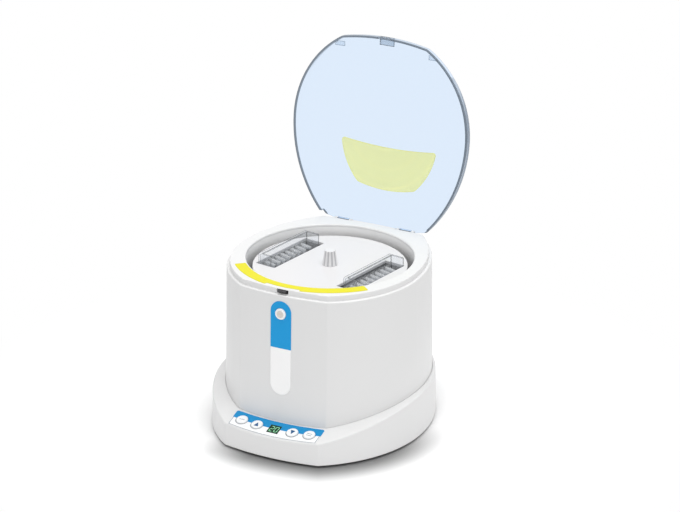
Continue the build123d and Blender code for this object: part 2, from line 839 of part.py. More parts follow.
# Motor hung under the chamber's floor on rubber dampers
damper_places = [
    (damper_circle_radius * cos(radians(45 + 90 * i)), damper_circle_radius * sin(radians(45 + 90 * i)))
    for i in range(4)
]
motor_screw_places = [
    (motor_screw_circle_radius * cos(radians(90 * i)), motor_screw_circle_radius * sin(radians(90 * i)))
    for i in range(4)
]
with BuildPart() as motor_plate:
    with BuildSketch(Plane.XY.offset(motor_plate_z)):
        Circle(motor_plate_radius)
        Circle(motor_plate_hole_radius, mode=Mode.SUBTRACT)
        with Locations(*(damper_places + motor_screw_places)):
            Circle(screw_radius + pin_fit, mode=Mode.SUBTRACT)
    extrude(amount=motor_plate_thickness)
save(motor_plate.part, "motor_plate")

with BuildPart() as motor_dampers:
    with BuildSketch(Plane.XY.offset(motor_seat_z)):
        with Locations(*damper_places):
            Circle(damper_radius)
            Circle(screw_radius + pin_fit, mode=Mode.SUBTRACT)
    extrude(amount=bowl_floor_z - bowl_wall - motor_seat_z)
save(motor_dampers.part, "motor_dampers")

with BuildPart() as motor_screws:
    add(
        upright_screws(
            Plane.XY,
            damper_places,
            motor_plate_z - screw_head_height,
            motor_plate_z,
            bowl_floor_z - bowl_wall / 2,
            screw_radius,
            screw_head_radius,
        )
    )
    add(
        upright_screws(
            Plane.XY,
            motor_screw_places,
            motor_plate_z - screw_head_height,
            motor_plate_z,
            motor_seat_z + motor_can_floor - 0.3,
            screw_radius,
            screw_head_radius,
        )
    )
save(motor_screws.part, "motor_screws")

with BuildPart() as motor_can:
    add(ring(motor_seat_z, motor_can_top_z, 0, motor_radius))
    add(ring(motor_seat_z + motor_can_floor, motor_can_top_z, 0, motor_radius - motor_can_wall), mode=Mode.SUBTRACT)
    add(
        ring(
            motor_seat_z + motor_can_floor,
            motor_seat_z + motor_can_floor + bearing_height,
            bearing_radius + pin_fit,
            motor_boss_radius,
        )
    )
    with BuildSketch(Plane.XY.offset(motor_seat_z)):
        with Locations(*motor_screw_places):
            Circle(screw_radius + pin_fit)
    extrude(amount=motor_can_floor, mode=Mode.SUBTRACT)
save(motor_can.part, "motor_can")

with BuildPart() as motor_cap:
    add(ring(motor_can_top_z, motor_can_top_z + motor_cap_thickness, 0, motor_radius))
    add(
        ring(
            motor_can_top_z + motor_cap_thickness,
            motor_can_top_z + bearing_height + motor_cap_thickness,
            0,
            motor_boss_radius,
        )
    )
    add(ring(motor_can_top_z, motor_can_top_z + bearing_height, 0, bearing_radius + pin_fit), mode=Mode.SUBTRACT)
    add(
        ring(motor_can_top_z, motor_can_top_z + bearing_height + motor_cap_thickness, 0, shaft_radius + 1),
        mode=Mode.SUBTRACT,
    )
save(motor_cap.part, "motor_cap")

with BuildPart() as motor_bearings:
    for low_z in (motor_seat_z + motor_can_floor, motor_can_top_z):
        add(ring(low_z, low_z + bearing_height, shaft_radius, bearing_radius))
save(motor_bearings.part, "motor_bearings")

core_low_z = motor_seat_z + motor_can_floor + bearing_height + 2
with BuildPart() as motor_core:
    add(ring(core_low_z, core_low_z + core_height, core_inner_radius, motor_radius - motor_can_wall))
save(motor_core.part, "motor_core")

with BuildPart() as motor_windings:
    for low_z in (core_low_z - winding_height, core_low_z + core_height):
        add(ring(low_z, low_z + winding_height, core_inner_radius + 1.5, motor_radius - motor_can_wall - 3))
    fillet(motor_windings.edges(), radius=1.2)
save(motor_windings.part, "motor_windings")

with BuildPart() as motor_magnet:
    add(ring(core_low_z, core_low_z + core_height, shaft_radius, core_inner_radius - core_gap))
save(motor_magnet.part, "motor_magnet")

with BuildPart() as motor_shaft:
    add(ring(motor_seat_z + motor_can_floor + 0.5, shaft_top_z, 0, shaft_radius - pin_fit))
    chamfer(motor_shaft.edges().filter_by(GeomType.CIRCLE), length=0.5)
save(motor_shaft.part, "motor_shaft")

with BuildPart() as shaft_seal:
    add(ring(tower_top_z, tower_top_z + seal_height, shaft_radius + seam_gap, seal_radius))
    add(ring(tower_top_z - tower_wall, tower_top_z, shaft_radius + seam_gap, tower_hole_radius - pin_fit))
save(shaft_seal.part, "shaft_seal")

# Rotor disc with its two slots
disc_low_z = disc_top_z - disc_thickness
slot_middle = slot_inner + slot_width / 2
tab_screw_places = [
    (side * slot_middle, end * (slot_length + carrier_wall * 2 + tab_length) / 2)
    for side in (-1, 1)
    for end in (-1, 1)
]
hub_screw_places = [(side * hub_screw_x, end * hub_screw_y) for side in (-1, 1) for end in (-1, 1)]
with BuildPart() as rotor_disc:
    with BuildSketch(Plane.XY.offset(disc_low_z)):
        Circle(disc_radius)
        Circle(knob_stud_radius + travel_gap, mode=Mode.SUBTRACT)
        with Locations((-slot_middle, 0), (slot_middle, 0)):
            Rectangle(slot_width, slot_length, mode=Mode.SUBTRACT)
    extrude(amount=disc_thickness)
    rim_edges = rotor_disc.edges().filter_by(GeomType.CIRCLE).filter_by(
        lambda edge: edge.radius > disc_radius - 1
    )
    fillet(rim_edges, radius=disc_edge_round)
    with BuildSketch(Plane.XY.offset(disc_low_z)):
        with Locations(*(tab_screw_places + hub_screw_places)):
            Circle(screw_radius + pin_fit)
    extrude(amount=disc_thickness * 0.65, mode=Mode.SUBTRACT)
save(rotor_turned(rotor_disc.part), "rotor_disc")


def plate_carrier():
    """Open box under the right-hand slot, with a tab at each end."""
    outer_width = slot_width + 2 * carrier_wall
    outer_length = slot_length + 2 * carrier_wall
    with BuildPart() as box:
        with BuildSketch(Plane.XY.offset(carrier_floor_top_z - carrier_wall)):
            with Locations((slot_middle, 0)):
                Rectangle(outer_width, outer_length)
        extrude(amount=disc_low_z - carrier_floor_top_z + carrier_wall)
        fillet(box.edges().filter_by(Axis.Z), radius=1.5)
        with BuildSketch(Plane.XY.offset(carrier_floor_top_z)):
            with Locations((slot_middle, 0)):
                Rectangle(slot_width, slot_length)
        extrude(amount=disc_low_z - carrier_floor_top_z, mode=Mode.SUBTRACT)
        with BuildSketch(Plane.XY.offset(carrier_floor_top_z)):
            with Locations((slot_middle, 0)):
                with GridLocations(1, slot_length / 4, 1, 3):
                    Circle(1.8)
        extrude(amount=-carrier_wall, mode=Mode.SUBTRACT)
        with BuildSketch(Plane.XY.offset(disc_low_z)):
            with Locations((slot_middle, outer_length / 2), (slot_middle, -outer_length / 2)):
                Rectangle(tab_width, 2 * tab_length)
            with Locations((slot_middle, 0)):
                Rectangle(slot_width, slot_length, mode=Mode.SUBTRACT)
        extrude(amount=-carrier_wall)
        with BuildSketch(Plane.XY.offset(disc_low_z)):
            with Locations(*tab_screw_places[2:]):
                Circle(screw_radius + pin_fit)
        extrude(amount=-carrier_wall, mode=Mode.SUBTRACT)
    return box.part


save(rotor_turned(plate_carrier()), "right_carrier")
save(rotor_turned(plate_carrier().rotate(Axis.Z, 180)), "left_carrier")

# Hub: turned column on the shaft with a plate under the disc
with BuildPart() as rotor_hub:
    with BuildSketch(Plane.XZ):
        with BuildLine():
            Polyline(
                (0, hub_bottom_z),
                (hub_radius, hub_bottom_z),
                (hub_radius, shaft_top_z),
                (hub_radius * 2, disc_low_z - hub_plate_thickness),
                (0, disc_low_z - hub_plate_thickness),
                (0, hub_bottom_z),
            )
        make_face()
    revolve(axis=Axis.Z)
    with BuildSketch(Plane.XY.offset(disc_low_z)):
        RectangleRounded(hub_plate_length, hub_plate_width, 4)
    extrude(amount=-hub_plate_thickness)
    with BuildSketch(Plane.XY.offset(disc_low_z)):
        with Locations(*hub_screw_places):
            Circle(screw_radius + pin_fit)
    extrude(amount=-hub_plate_thickness, mode=Mode.SUBTRACT)
    add(ring(hub_bottom_z, shaft_top_z + 1, 0, shaft_radius), mode=Mode.SUBTRACT)
    add(ring(disc_top_z - knob_stud_length - 1, disc_low_z, 0, knob_stud_radius + pin_fit), mode=Mode.SUBTRACT)
save(rotor_turned(rotor_hub.part), "rotor_hub")

with BuildPart() as rotor_screws:
    screw_tip_z = disc_low_z + disc_thickness * 0.6
    for places, seat_z in (
        (tab_screw_places, disc_low_z - carrier_wall),
        (hub_screw_places, disc_low_z - hub_plate_thickness),
    ):
        add(
            upright_screws(
                Plane.XY,
                places,
                seat_z - screw_head_height,
                seat_z,
                screw_tip_z,
                screw_radius,
                screw_head_radius,
            )
        )
save(rotor_turned(rotor_screws.part), "rotor_screws")


def fluted_circle(level, radius):
    """Round knob section with its flutes, on a level plane."""
    with BuildSketch(Plane.XY.offset(level)) as section:
        Circle(radius)
        with PolarLocations(radius + knob_flute_radius * 0.55, knob_flutes):
            Circle(knob_flute_radius, mode=Mode.SUBTRACT)
    return section.sketch


with BuildPart() as rotor_knob:
    loft(
        [fluted_circle(disc_top_z, knob_foot_radius), fluted_circle(disc_top_z + knob_height, knob_top_radius)],
        ruled=True,
    )
    fillet(rotor_knob.faces().sort_by(Axis.Z)[-1].edges(), radius=0.6)
    with BuildSketch(Plane.XY.offset(disc_top_z)):
        Circle(knob_stud_radius)
    extrude(amount=-knob_stud_length)
save(rotor_turned(rotor_knob.part), "rotor_knob")


def microplate(deck_x):
    """Plate of 96 tubes on its short side, tubes to +X, skirts on its long sides."""
    middle_z = plate_bottom_z + plate_long / 2
    with BuildPart() as plate:
        with BuildSketch(Plane.YZ.offset(deck_x)):
            with Locations((0, middle_z)):
                RectangleRounded(plate_short, plate_long, plate_corner_round)
        extrude(amount=plate_depth)
        with BuildSketch(Plane.YZ.offset(deck_x + plate_deck)):
            with Locations((0, middle_z)):
                RectangleRounded(
                    plate_short - 2 * plate_skirt,
                    plate_long - 2 * plate_skirt,
                    plate_corner_round - plate_skirt,
                )
        extrude(amount=plate_depth, mode=Mode.SUBTRACT)
        # The skirt is low on the short sides
        with BuildSketch(Plane.YZ.offset(deck_x + plate_low_skirt)):
            with Locations((0, middle_z)):
                Rectangle(plate_short - 2 * plate_corner_round, plate_long)
        extrude(amount=plate_depth, mode=Mode.SUBTRACT)
        with BuildSketch(Plane.YZ.offset(deck_x + plate_deck)):
            with Locations((0, middle_z)):
                with GridLocations(well_pitch, well_pitch, well_columns, well_rows):
                    Circle(tube_radius)
        extrude(amount=tube_length, taper=tube_taper)
        with BuildSketch(Plane.YZ.offset(deck_x)):
            with Locations((0, middle_z)):
                with GridLocations(well_pitch, well_pitch, well_columns, well_rows):
                    Circle(tube_radius - tube_wall)
        extrude(amount=tube_length + plate_deck - tube_wall * 2, taper=tube_taper, mode=Mode.SUBTRACT)
    return plate.part


# Both plates face the same way in the photograph
save(rotor_turned(microplate(right_deck_x)), "right_plate")
save(rotor_turned(microplate(left_deck_x)), "left_plate")

# Badge: a thin pill on the front wall, in an upper and a lower piece
badge_middle_z = (badge_top_z + badge_bottom_z) / 2
for name, low_z, high_z in (
    ("badge_lower", badge_bottom_z, badge_split_z),
    ("badge_upper", badge_split_z, badge_top_z),
):
    with BuildPart() as badge:
        with BuildSketch(Plane.XZ.offset(body_front - 20)):
            with Locations((0, badge_middle_z)):
                SlotOverall(badge_top_z - badge_bottom_z, badge_width, rotation=90)
            with Locations((0, (low_z + high_z) / 2)):
                Rectangle(badge_width, high_z - low_z, mode=Mode.INTERSECT)
            with Locations((0, button_z)):
                Circle(button_radius + seam_gap, mode=Mode.SUBTRACT)
        extrude(amount=40)
        add(body_block(body_foot_z, shoulder_z, badge_thickness), mode=Mode.INTERSECT)
        add(body_block(body_foot_z, shoulder_z), mode=Mode.SUBTRACT)
    save(badge.part, name)

# Open button: cap, flange behind the wall and a stem to the latch
wall_front_y = sloped(body_front, shoulder_z - button_z, front_draft)
cap_front_y = wall_front_y + badge_thickness + button_proud
flange_front_y = wall_front_y - body_wall - button_flange_gap
with BuildPart() as open_button:
    with BuildSketch(Plane.XZ.offset(cap_front_y)):
        with Locations((0, button_z)):
            Circle(button_radius)
    extrude(amount=flange_front_y - cap_front_y)
    fillet(open_button.edges().sort_by(Axis.Y)[:1], radius=0.8)
    with Locations((0, -cap_front_y - button_dimple_radius + 0.6, button_z)):
        Sphere(button_dimple_radius, mode=Mode.SUBTRACT)
    with BuildSketch(Plane.XZ.offset(flange_front_y)):
        with Locations((0, button_z)):
            Circle(button_flange_radius)
    extrude(amount=-button_flange_thickness)
    with BuildSketch(Plane.XZ.offset(flange_front_y)):
        with Locations((0, button_z)):
            Circle(button_stem_radius)
    extrude(amount=latch_arm_front_y - flange_front_y + travel_gap)
save(open_button.part, "open_button")

# Latch lever: an upright arm on a pin, with the nose through the step
with BuildPart() as latch_lever:
    with BuildSketch(Plane.YZ):
        with BuildLine():
            Polyline(
                (-latch_arm_back_y, latch_pivot_z),
                (-latch_arm_back_y, nose_top_z),
                (-nose_tip_y + 1.2, nose_top_z),
                (-nose_tip_y, nose_top_z - 0.9),
                (-nose_tip_y, nose_bottom_z),
                (-latch_arm_front_y, nose_bottom_z),
                (-latch_arm_front_y, latch_pivot_z),
                (-latch_arm_back_y, latch_pivot_z),
            )
        make_face()
    extrude(amount=latch_arm_width / 2, both=True)
    with BuildSketch(Plane.XZ.offset(latch_pivot_y)):
        with Locations((0, latch_pivot_z)):
            Rectangle(latch_arm_width + 2, 2 * latch_narrow_height)
    extrude(amount=8, both=True, mode=Mode.SUBTRACT)
    with BuildSketch(Plane.YZ):
        with Locations((-latch_pivot_y, latch_pivot_z)):
            Circle(latch_hub_radius)
        with Locations((-latch_arm_middle_y, latch_pivot_z)):
            Rectangle(latch_arm_thickness, latch_narrow_height, align=(Align.CENTER, Align.MIN))
    extrude(amount=latch_hub_width / 2, both=True)
    with BuildSketch(Plane.YZ):
        with Locations((-latch_pivot_y, latch_pivot_z)):
            Circle(latch_pin_radius + pin_fit)
    extrude(amount=latch_arm_width, both=True, mode=Mode.SUBTRACT)
save(latch_lever.part, "latch_lever")

with BuildPart() as latch_pin:
    with BuildSketch(Plane.YZ):
        with Locations((-latch_pivot_y, latch_pivot_z)):
            Circle(latch_pin_radius)
    extrude(amount=bracket_half_width + bracket_thickness + 0.8, both=True)
save(latch_pin.part, "latch_pin")

with BuildPart() as latch_bracket:
    with BuildSketch(Plane.XZ.offset(bracket_front_y)):
        with Locations((0, latch_pivot_z - 2)):
            RectangleRounded(bracket_plate_width, bracket_plate_height, 2)
    extrude(amount=-bracket_thickness)
    for side in (-1, 1):
        with BuildSketch(Plane.YZ.offset(side * bracket_half_width)):
            with Locations((-(bracket_front_y + latch_pivot_y - 4) / 2, latch_pivot_z)):
                Rectangle(bracket_front_y - latch_pivot_y + 4, 10)
            with Locations((-latch_pivot_y, latch_pivot_z)):
                Circle(latch_pin_radius + pin_fit, mode=Mode.SUBTRACT)
        extrude(amount=side * bracket_thickness)
    with BuildSketch(Plane.XZ.offset(bracket_front_y)):
        with Locations(*wall_peg_places[:2]):
            Circle(wall_peg_radius + pin_fit)
    extrude(amount=-bracket_thickness, mode=Mode.SUBTRACT)
save(latch_bracket.part, "latch_bracket")

# Torsion spring on the latch's pin, with a leg behind the arm and one on the bracket
spring_start_x = latch_hub_width / 2 + 0.8
with BuildPart() as latch_spring:
    with BuildLine() as coil:
        Helix(
            spring_pitch,
            spring_pitch * spring_turns,
            spring_radius,
            center=(spring_start_x, -latch_pivot_y, latch_pivot_z),
            direction=(1, 0, 0),
        )
    with BuildSketch(Plane(origin=coil.line @ 0, z_dir=coil.line % 0)):
        Circle(spring_wire_radius)
    sweep(path=coil.line, is_frenet=True)
    for end in (0, 1):
        with BuildSketch(Plane(origin=coil.line @ end, z_dir=coil.line % end)):
            Circle(spring_wire_radius)
        extrude(amount=(2 * end - 1) * spring_leg_length)
latch_axis = Axis((0, -latch_pivot_y, latch_pivot_z), (1, 0, 0))
save(latch_spring.part.rotate(latch_axis, 90), "latch_spring")

# Lid switch beside the latch
with BuildPart() as lid_switch:
    with BuildSketch(Plane.XZ.offset(lid_switch_front_y)):
        with Locations((lid_switch_x, lid_switch_z)):
            RectangleRounded(12.8, 6.5, 0.6)
        with Locations(*wall_peg_places[2:]):
            Circle(wall_peg_radius + pin_fit, mode=Mode.SUBTRACT)
    extrude(amount=-5.8)
    with BuildSketch(Plane.XZ.offset(lid_switch_front_y - 2.9)):
        with Locations((lid_switch_x, lid_switch_z + 3.25)):
            Rectangle(2.4, 2.4)
    extrude(amount=-1.4)
save(lid_switch.part, "lid_switch")

# Control panel on the shelf
with BuildPart() as control_overlay:
    with BuildSketch(shelf) as overlay_face:
        with BuildLine():
            Line((panel_half_width, 0), (panel_half_width, panel_front))
            ThreePointArc((panel_half_width, panel_front), (0, panel_front_middle), (-panel_half_width, panel_front))
            Line((-panel_half_width, panel_front), (-panel_half_width, 0))
            ThreePointArc((-panel_half_width, 0), (0, panel_back_middle), (panel_half_width, 0))
        make_face()
        fillet(overlay_face.vertices(), radius=panel_round)
        with Locations(*key_places.values()):
            Circle(key_radius + key_gap, mode=Mode.SUBTRACT)
        with Locations((0, display_middle_y)):
            Rectangle(display_width + 2 * travel_gap, display_height + 2 * travel_gap, mode=Mode.SUBTRACT)
    extrude(amount=panel_thickness)
save(control_overlay.part, "control_overlay")

for name, place in key_places.items():
    with BuildPart() as key:
        with BuildSketch(shelf.offset(key_flange_top)):
            with Locations(place):
                Circle(key_radius)
        extrude(amount=key_proud - key_flange_top)
        fillet(key.faces().sort_by(Axis.Z)[-1].edges(), radius=0.5)
        with BuildSketch(shelf.offset(key_flange_top)):
            with Locations(place):
                Circle(key_flange_radius)
        extrude(amount=-key_flange_thickness)
        with BuildSketch(shelf.offset(key_flange_top)):
            with Locations(place):
                Circle(key_stem_radius)
        extrude(amount=-key_flange_thickness - key_stem_length)
    save(key.part, name)

with BuildPart() as key_switches:
    with BuildSketch(shelf.offset(board_top_level)):
        with Locations(*key_places.values()):
            RectangleRounded(switch_size, switch_size, 0.5)
    extrude(amount=switch_height - 0.6)
    with BuildSketch(shelf.offset(board_top_level)):
        with Locations(*key_places.values()):
            Circle(switch_size * 0.28)
    extrude(amount=switch_height)
save(key_switches.part, "key_switches")

with BuildPart() as display_window:
    with BuildSketch(shelf.offset(-base_wall)):
        with Locations((0, display_middle_y)):
            Rectangle(display_width, display_height)
    extrude(amount=base_wall + panel_thickness)
save(display_window.part, "display_window")

with BuildPart() as display_module:
    with BuildSketch(shelf.offset(board_top_level)):
        with Locations((0, display_middle_y)):
            Rectangle(display_width + 1.4, display_height + 0.8)
    extrude(amount=-base_wall - travel_gap - board_top_level)
save(display_module.part, "display_module")

board_post_places = [(-board_post_x, board_post_y), (board_post_x, board_post_y)]
with BuildPart() as control_board:
    with BuildSketch(shelf.offset(board_top_level)):
        with Locations((0, (control_board_back + control_board_front) / 2)):
            Rectangle(control_board_length, control_board_back - control_board_front)
        with Locations(*board_post_places):
            Circle(board_post_hole_radius + pin_fit, mode=Mode.SUBTRACT)
    extrude(amount=-board_thickness)
save(control_board.part, "control_board")

# Main board on the bottom plate, with its parts
main_board_post_places = [
    (side * (main_board_x - 8) / 2, main_board_middle_y + end * (main_board_y - 8) / 2)
    for side in (-1, 1)
    for end in (-1, 1)
]
with BuildPart() as main_board:
    with BuildSketch(Plane.XY.offset(main_board_z)):
        with Locations((0, main_board_middle_y)):
            Rectangle(main_board_x, main_board_y)
        with Locations(*main_board_post_places):
            Circle(board_post_hole_radius + pin_fit, mode=Mode.SUBTRACT)
    extrude(amount=board_thickness)
save(main_board.part, "main_board")

with BuildPart() as board_screws:
    add(
        upright_screws(
            Plane.XY,
            main_board_post_places,
            main_board_z + board_thickness + screw_head_height,
            main_board_z + board_thickness,
            main_board_z - board_post_hole_depth + 0.5,
            board_post_hole_radius - pin_fit,
            2.0,
        )
    )
    add(
        upright_screws(
            shelf,
            board_post_places,
            board_top_level - board_thickness - screw_head_height,
            board_top_level - board_thickness,
            board_top_level + board_post_hole_depth - 0.5,
            board_post_hole_radius - pin_fit,
            2.0,
        )
    )
save(board_screws.part, "board_screws")

board_low_z = main_board_z + board_thickness
with BuildPart() as board_parts:
    with BuildSketch(Plane.XY.offset(board_low_z)):
        with Locations((-28, main_board_middle_y + 2), (-10, main_board_middle_y - 8)):
            Circle(6.5)
    extrude(amount=15)
    with BuildSketch(Plane.XY.offset(board_low_z)):
        with Locations((12, main_board_middle_y + 4)):
            RectangleRounded(18, 20, 1)
        with Locations((33, main_board_middle_y + 4)):
            Rectangle(4, 24)
    extrude(amount=13)
    with BuildSketch(Plane.XY.offset(board_low_z)):
        with Locations((ribbon_x, main_board_middle_y - main_board_y / 2 + 4)):
            Rectangle(ribbon_width + 3, 5)
    extrude(amount=6)
save(board_parts.part, "board_parts")

# Flat cable from the control board to the main board
with BuildPart() as panel_cable:
    start = shelf.from_local_coords(Vector(ribbon_x, control_board_back - 3, board_top_level - board_thickness))
    with BuildSketch(Plane.YZ.offset(ribbon_x)):
        with BuildLine() as route:
            FilletPolyline(
                (start.Y, start.Z - ribbon_thickness / 2),
                (start.Y, ribbon_low_z),
                (main_board_middle_y - main_board_y / 2 - 6, ribbon_low_z),
                (main_board_middle_y - main_board_y / 2 - 6, board_low_z + 3),
                (main_board_middle_y - main_board_y / 2 + 1.4, board_low_z + 3),
                radius=2.5,
            )
        trace(route.line, line_width=ribbon_thickness)
    extrude(amount=ribbon_width / 2, both=True)
save(panel_cable.part, "panel_cable")

# Power inlet and rocker switch on the rear
with BuildPart() as power_inlet:
    with BuildSketch(Plane.XZ.offset(-rear_seat_y)):
        with Locations((inlet_x, rear_parts_z)):
            Circle(inlet_flange_radius)
    extrude(amount=-1.4)
    with BuildSketch(Plane.XZ.offset(-rear_seat_y)):
        with Locations((inlet_x, rear_parts_z)):
            Circle(inlet_radius)
    extrude(amount=inlet_depth)
    with BuildSketch(Plane.XZ.offset(-rear_seat_y - 1.4)):
        with Locations((inlet_x, rear_parts_z)):
            Circle(inlet_bore_radius)
            Circle(inlet_pin_radius, mode=Mode.SUBTRACT)
    extrude(amount=inlet_bore_depth, mode=Mode.SUBTRACT)
save(power_inlet.part, "power_inlet")

with BuildPart() as switch_frame:
    with BuildSketch(Plane.XZ.offset(-rear_seat_y)):
        with Locations((rocker_x, rear_parts_z)):
            RectangleRounded(frame_width, frame_height, 1)
    extrude(amount=-1.6)
    with BuildSketch(Plane.XZ.offset(-rear_seat_y)):
        with Locations((rocker_x, rear_parts_z)):
            Rectangle(frame_body_width, frame_body_height)
    extrude(amount=frame_body_depth)
    with BuildSketch(Plane.XZ.offset(-rear_seat_y - 1.6)):
        with Locations((rocker_x, rear_parts_z)):
            Rectangle(rocker_width + 2 * rocker_gap, rocker_height + 2 * rocker_gap)
    extrude(amount=frame_body_depth - 2, mode=Mode.SUBTRACT)
save(switch_frame.part, "switch_frame")

rocker_pivot_y = rear_seat_y + 0.2
with BuildPart() as switch_rocker:
    with BuildSketch(Plane(origin=(rocker_x, rocker_pivot_y, rear_parts_z - rocker_height / 2), x_dir=(1, 0, 0))):
        with BuildLine():
            Line((-rocker_width / 2, -2.5), (-rocker_width / 2 + 0.3, 3.0))
            ThreePointArc(
                (-rocker_width / 2 + 0.3, 3.0),
                (0, 1.9),
                (rocker_width / 2 - 0.3, 3.0),
            )
            Line((rocker_width / 2 - 0.3, 3.0), (rocker_width / 2, -2.5))
            ThreePointArc((rocker_width / 2, -2.5), (0, -6.5), (-rocker_width / 2, -2.5))
        make_face()
    extrude(amount=rocker_height)
rocker_axis = Axis((rocker_x, rocker_pivot_y, 0), (0, 0, 1))
save(switch_rocker.part.rotate(rocker_axis, rocker_tilt), "switch_rocker")


def lid_block(low_z, shrink, edge_round):
    """Solid lid under its crown, cut straight behind the hinge line, drawn in by a wall where one is given."""
    with BuildPart() as block:
        add(body_block(low_z, lid_crown_z + 5, -lid_inset - shrink))
        with BuildSketch(Plane.XY.offset(low_z)):
            with Locations((0, hinge_y + lid_rear_y - shrink)):
                Rectangle(4 * body_half_width, 4 * body_half_width, align=(Align.CENTER, Align.MAX))
        extrude(amount=lid_crown_z - low_z + 5, mode=Mode.INTERSECT)
        with Locations((0, 0, lid_crown_z - lid_crown_radius)):
            Sphere(lid_crown_radius - shrink, mode=Mode.INTERSECT)
        fillet(block.faces().sort_by(Axis.Z)[-1].edges(), radius=edge_round)
    return block.part


lid_hollow = lid_block(shoulder_z, lid_wall, lid_edge_round - lid_wall)

with BuildPart() as lid_shell:
    add(lid_block(lid_skirt_bottom_z, 0, lid_edge_round))
    add(lid_hollow, mode=Mode.SUBTRACT)
    # The skirt stops short of the hinge line
    with BuildSketch(Plane.XY.offset(lid_rear_clear_z)):
        with Locations((0, hinge_y - lid_skirt_end)):
            Rectangle(400, 60, align=(Align.CENTER, Align.MIN))
    extrude(amount=-30, mode=Mode.SUBTRACT)
    # Gap in the front skirt for the hook
    with BuildSketch(Plane.XZ.offset(body_front + 5)):
        with Locations((0, lid_skirt_bottom_z - 1)):
            Rectangle(
                hook_width + 2 * travel_gap,
                hook_top_z + travel_gap - lid_skirt_bottom_z + 1,
                align=(Align.CENTER, Align.MIN),
            )
    extrude(amount=-12, mode=Mode.SUBTRACT)
    # Necks and barrels of the two hinges
    for side in (-1, 1):
        with BuildSketch(Plane.YZ.offset(side * hinge_x)):
            with Locations((hinge_y, hinge_z)):
                Circle(barrel_radius)
            with Locations((hinge_y + lid_rear_y, hinge_z)):
                Rectangle(lid_wall, hinge_neck_top_z - hinge_z, align=(Align.MAX, Align.MIN))
        extrude(amount=barrel_length / 2, both=True)
    with BuildSketch(Plane.YZ):
        with Locations((hinge_y, hinge_z)):
            Circle(hinge_pin_radius + pin_fit)
    extrude(amount=hinge_x + barrel_length, both=True, mode=Mode.SUBTRACT)
save(swung_open(lid_shell.part), "lid_shell")

with BuildPart() as lid_hook:
    with BuildSketch(Plane.XY.offset(lid_skirt_bottom_z)):
        with Locations((0, -lid_front_y)):
            Rectangle(hook_width, lid_wall, align=(Align.CENTER, Align.MIN))
    extrude(amount=hook_top_z - lid_skirt_bottom_z)
    add(lid_block(shoulder_z, 0, lid_edge_round), mode=Mode.INTERSECT)
    with BuildSketch(Plane.XY.offset(hook_top_z)):
        with Locations((0, -lid_front_y + lid_wall / 2)):
            Rectangle(hook_width, hook_reach + lid_wall / 2, align=(Align.CENTER, Align.MIN))
    extrude(amount=-hook_thickness)
    with BuildSketch(Plane.XZ.offset(lid_front_y + 1)):
        with Locations((0, nose_bottom_z - hook_clearance)):
            Rectangle(
                hook_window_width,
                nose_top_z - nose_bottom_z + 2 * hook_clearance,
                align=(Align.CENTER, Align.MIN),
            )
    extrude(amount=-lid_wall - 2, mode=Mode.SUBTRACT)
save(swung_open(lid_hook.part), "lid_hook")

with BuildPart() as lid_bumpers:
    with BuildSketch(Plane.XY.offset(rim_top_z + strip_thickness + travel_gap)):
        with Locations((-bumper_x, -bumper_y), (bumper_x, -bumper_y)):
            Rectangle(bumper_width, bumper_depth)
    extrude(amount=20)
    add(lid_hollow, mode=Mode.INTERSECT)
save(swung_open(lid_bumpers.part), "lid_bumpers")

# Printed film inside the lid
with BuildPart() as lid_film:
    with BuildSketch(Plane(origin=(film_middle_x, 0, rim_top_z))) as film_plan:
        with BuildLine():
            ThreePointArc((-film_wide_x, film_wide_y), (0, film_wide_y + film_hollow), (film_wide_x, film_wide_y))
            ThreePointArc((film_wide_x, film_wide_y), (film_side_x, film_side_y), (film_narrow_x, film_narrow_y))
            ThreePointArc(
                (film_narrow_x, film_narrow_y),
                (0, film_narrow_y + film_hollow),
                (-film_narrow_x, film_narrow_y),
            )
            ThreePointArc((-film_narrow_x, film_narrow_y), (-film_side_x, film_side_y), (-film_wide_x, film_wide_y))
        make_face()
        fillet(film_plan.vertices(), radius=film_round)
    extrude(amount=20)
    with Locations((0, 0, lid_crown_z - lid_crown_radius)):
        Sphere(lid_crown_radius - lid_wall, mode=Mode.INTERSECT)
        Sphere(lid_crown_radius - lid_wall - film_thickness, mode=Mode.SUBTRACT)
save(swung_open(lid_film.part), "lid_film")

# Hinge brackets and pins
with BuildPart() as hinge_brackets:
    for side in (-1, 1):
        for end in (-1, 1):
            ear_x = side * hinge_x + end * (barrel_length / 2 + ear_gap)
            with BuildSketch(Plane.YZ.offset(ear_x)):
                with Locations((hinge_y, hinge_z)):
                    Circle(ear_radius)
                with Locations((hinge_y, hinge_floor_z)):
                    Rectangle(2 * ear_radius - 0.6, hinge_z - hinge_floor_z, align=(Align.CENTER, Align.MIN))
            extrude(amount=end * ear_thickness)
    with BuildSketch(Plane.XY.offset(hinge_floor_z)):
        with Locations((-hinge_x, hinge_y), (hinge_x, hinge_y)):
            Rectangle(barrel_length + 2 * ear_gap + 2 * ear_thickness, 2 * barrel_radius)
    extrude(amount=hinge_bracket_floor)
    with BuildSketch(Plane.XY.offset(hinge_floor_z)):
        with Locations(*hinge_peg_places):
            Circle(hinge_peg_radius)
    extrude(amount=-body_wall - 0.6)
    with BuildSketch(Plane.YZ):
        with Locations((hinge_y, hinge_z)):
            Circle(hinge_pin_radius)
    extrude(amount=hinge_x + barrel_length, both=True, mode=Mode.SUBTRACT)
save(hinge_brackets.part, "hinge_brackets")

with BuildPart() as hinge_pins:
    for side in (-1, 1):
        with BuildSketch(Plane.YZ.offset(side * hinge_x)):
            with Locations((hinge_y, hinge_z)):
                Circle(hinge_pin_radius)
        extrude(amount=barrel_length / 2 + ear_gap + ear_thickness, both=True)
save(hinge_pins.part, "hinge_pins")


def on_rim(radius, angle):
    """Point at a radius, and at an angle from the front."""
    return (radius * sin(radians(angle)), -radius * cos(radians(angle)))


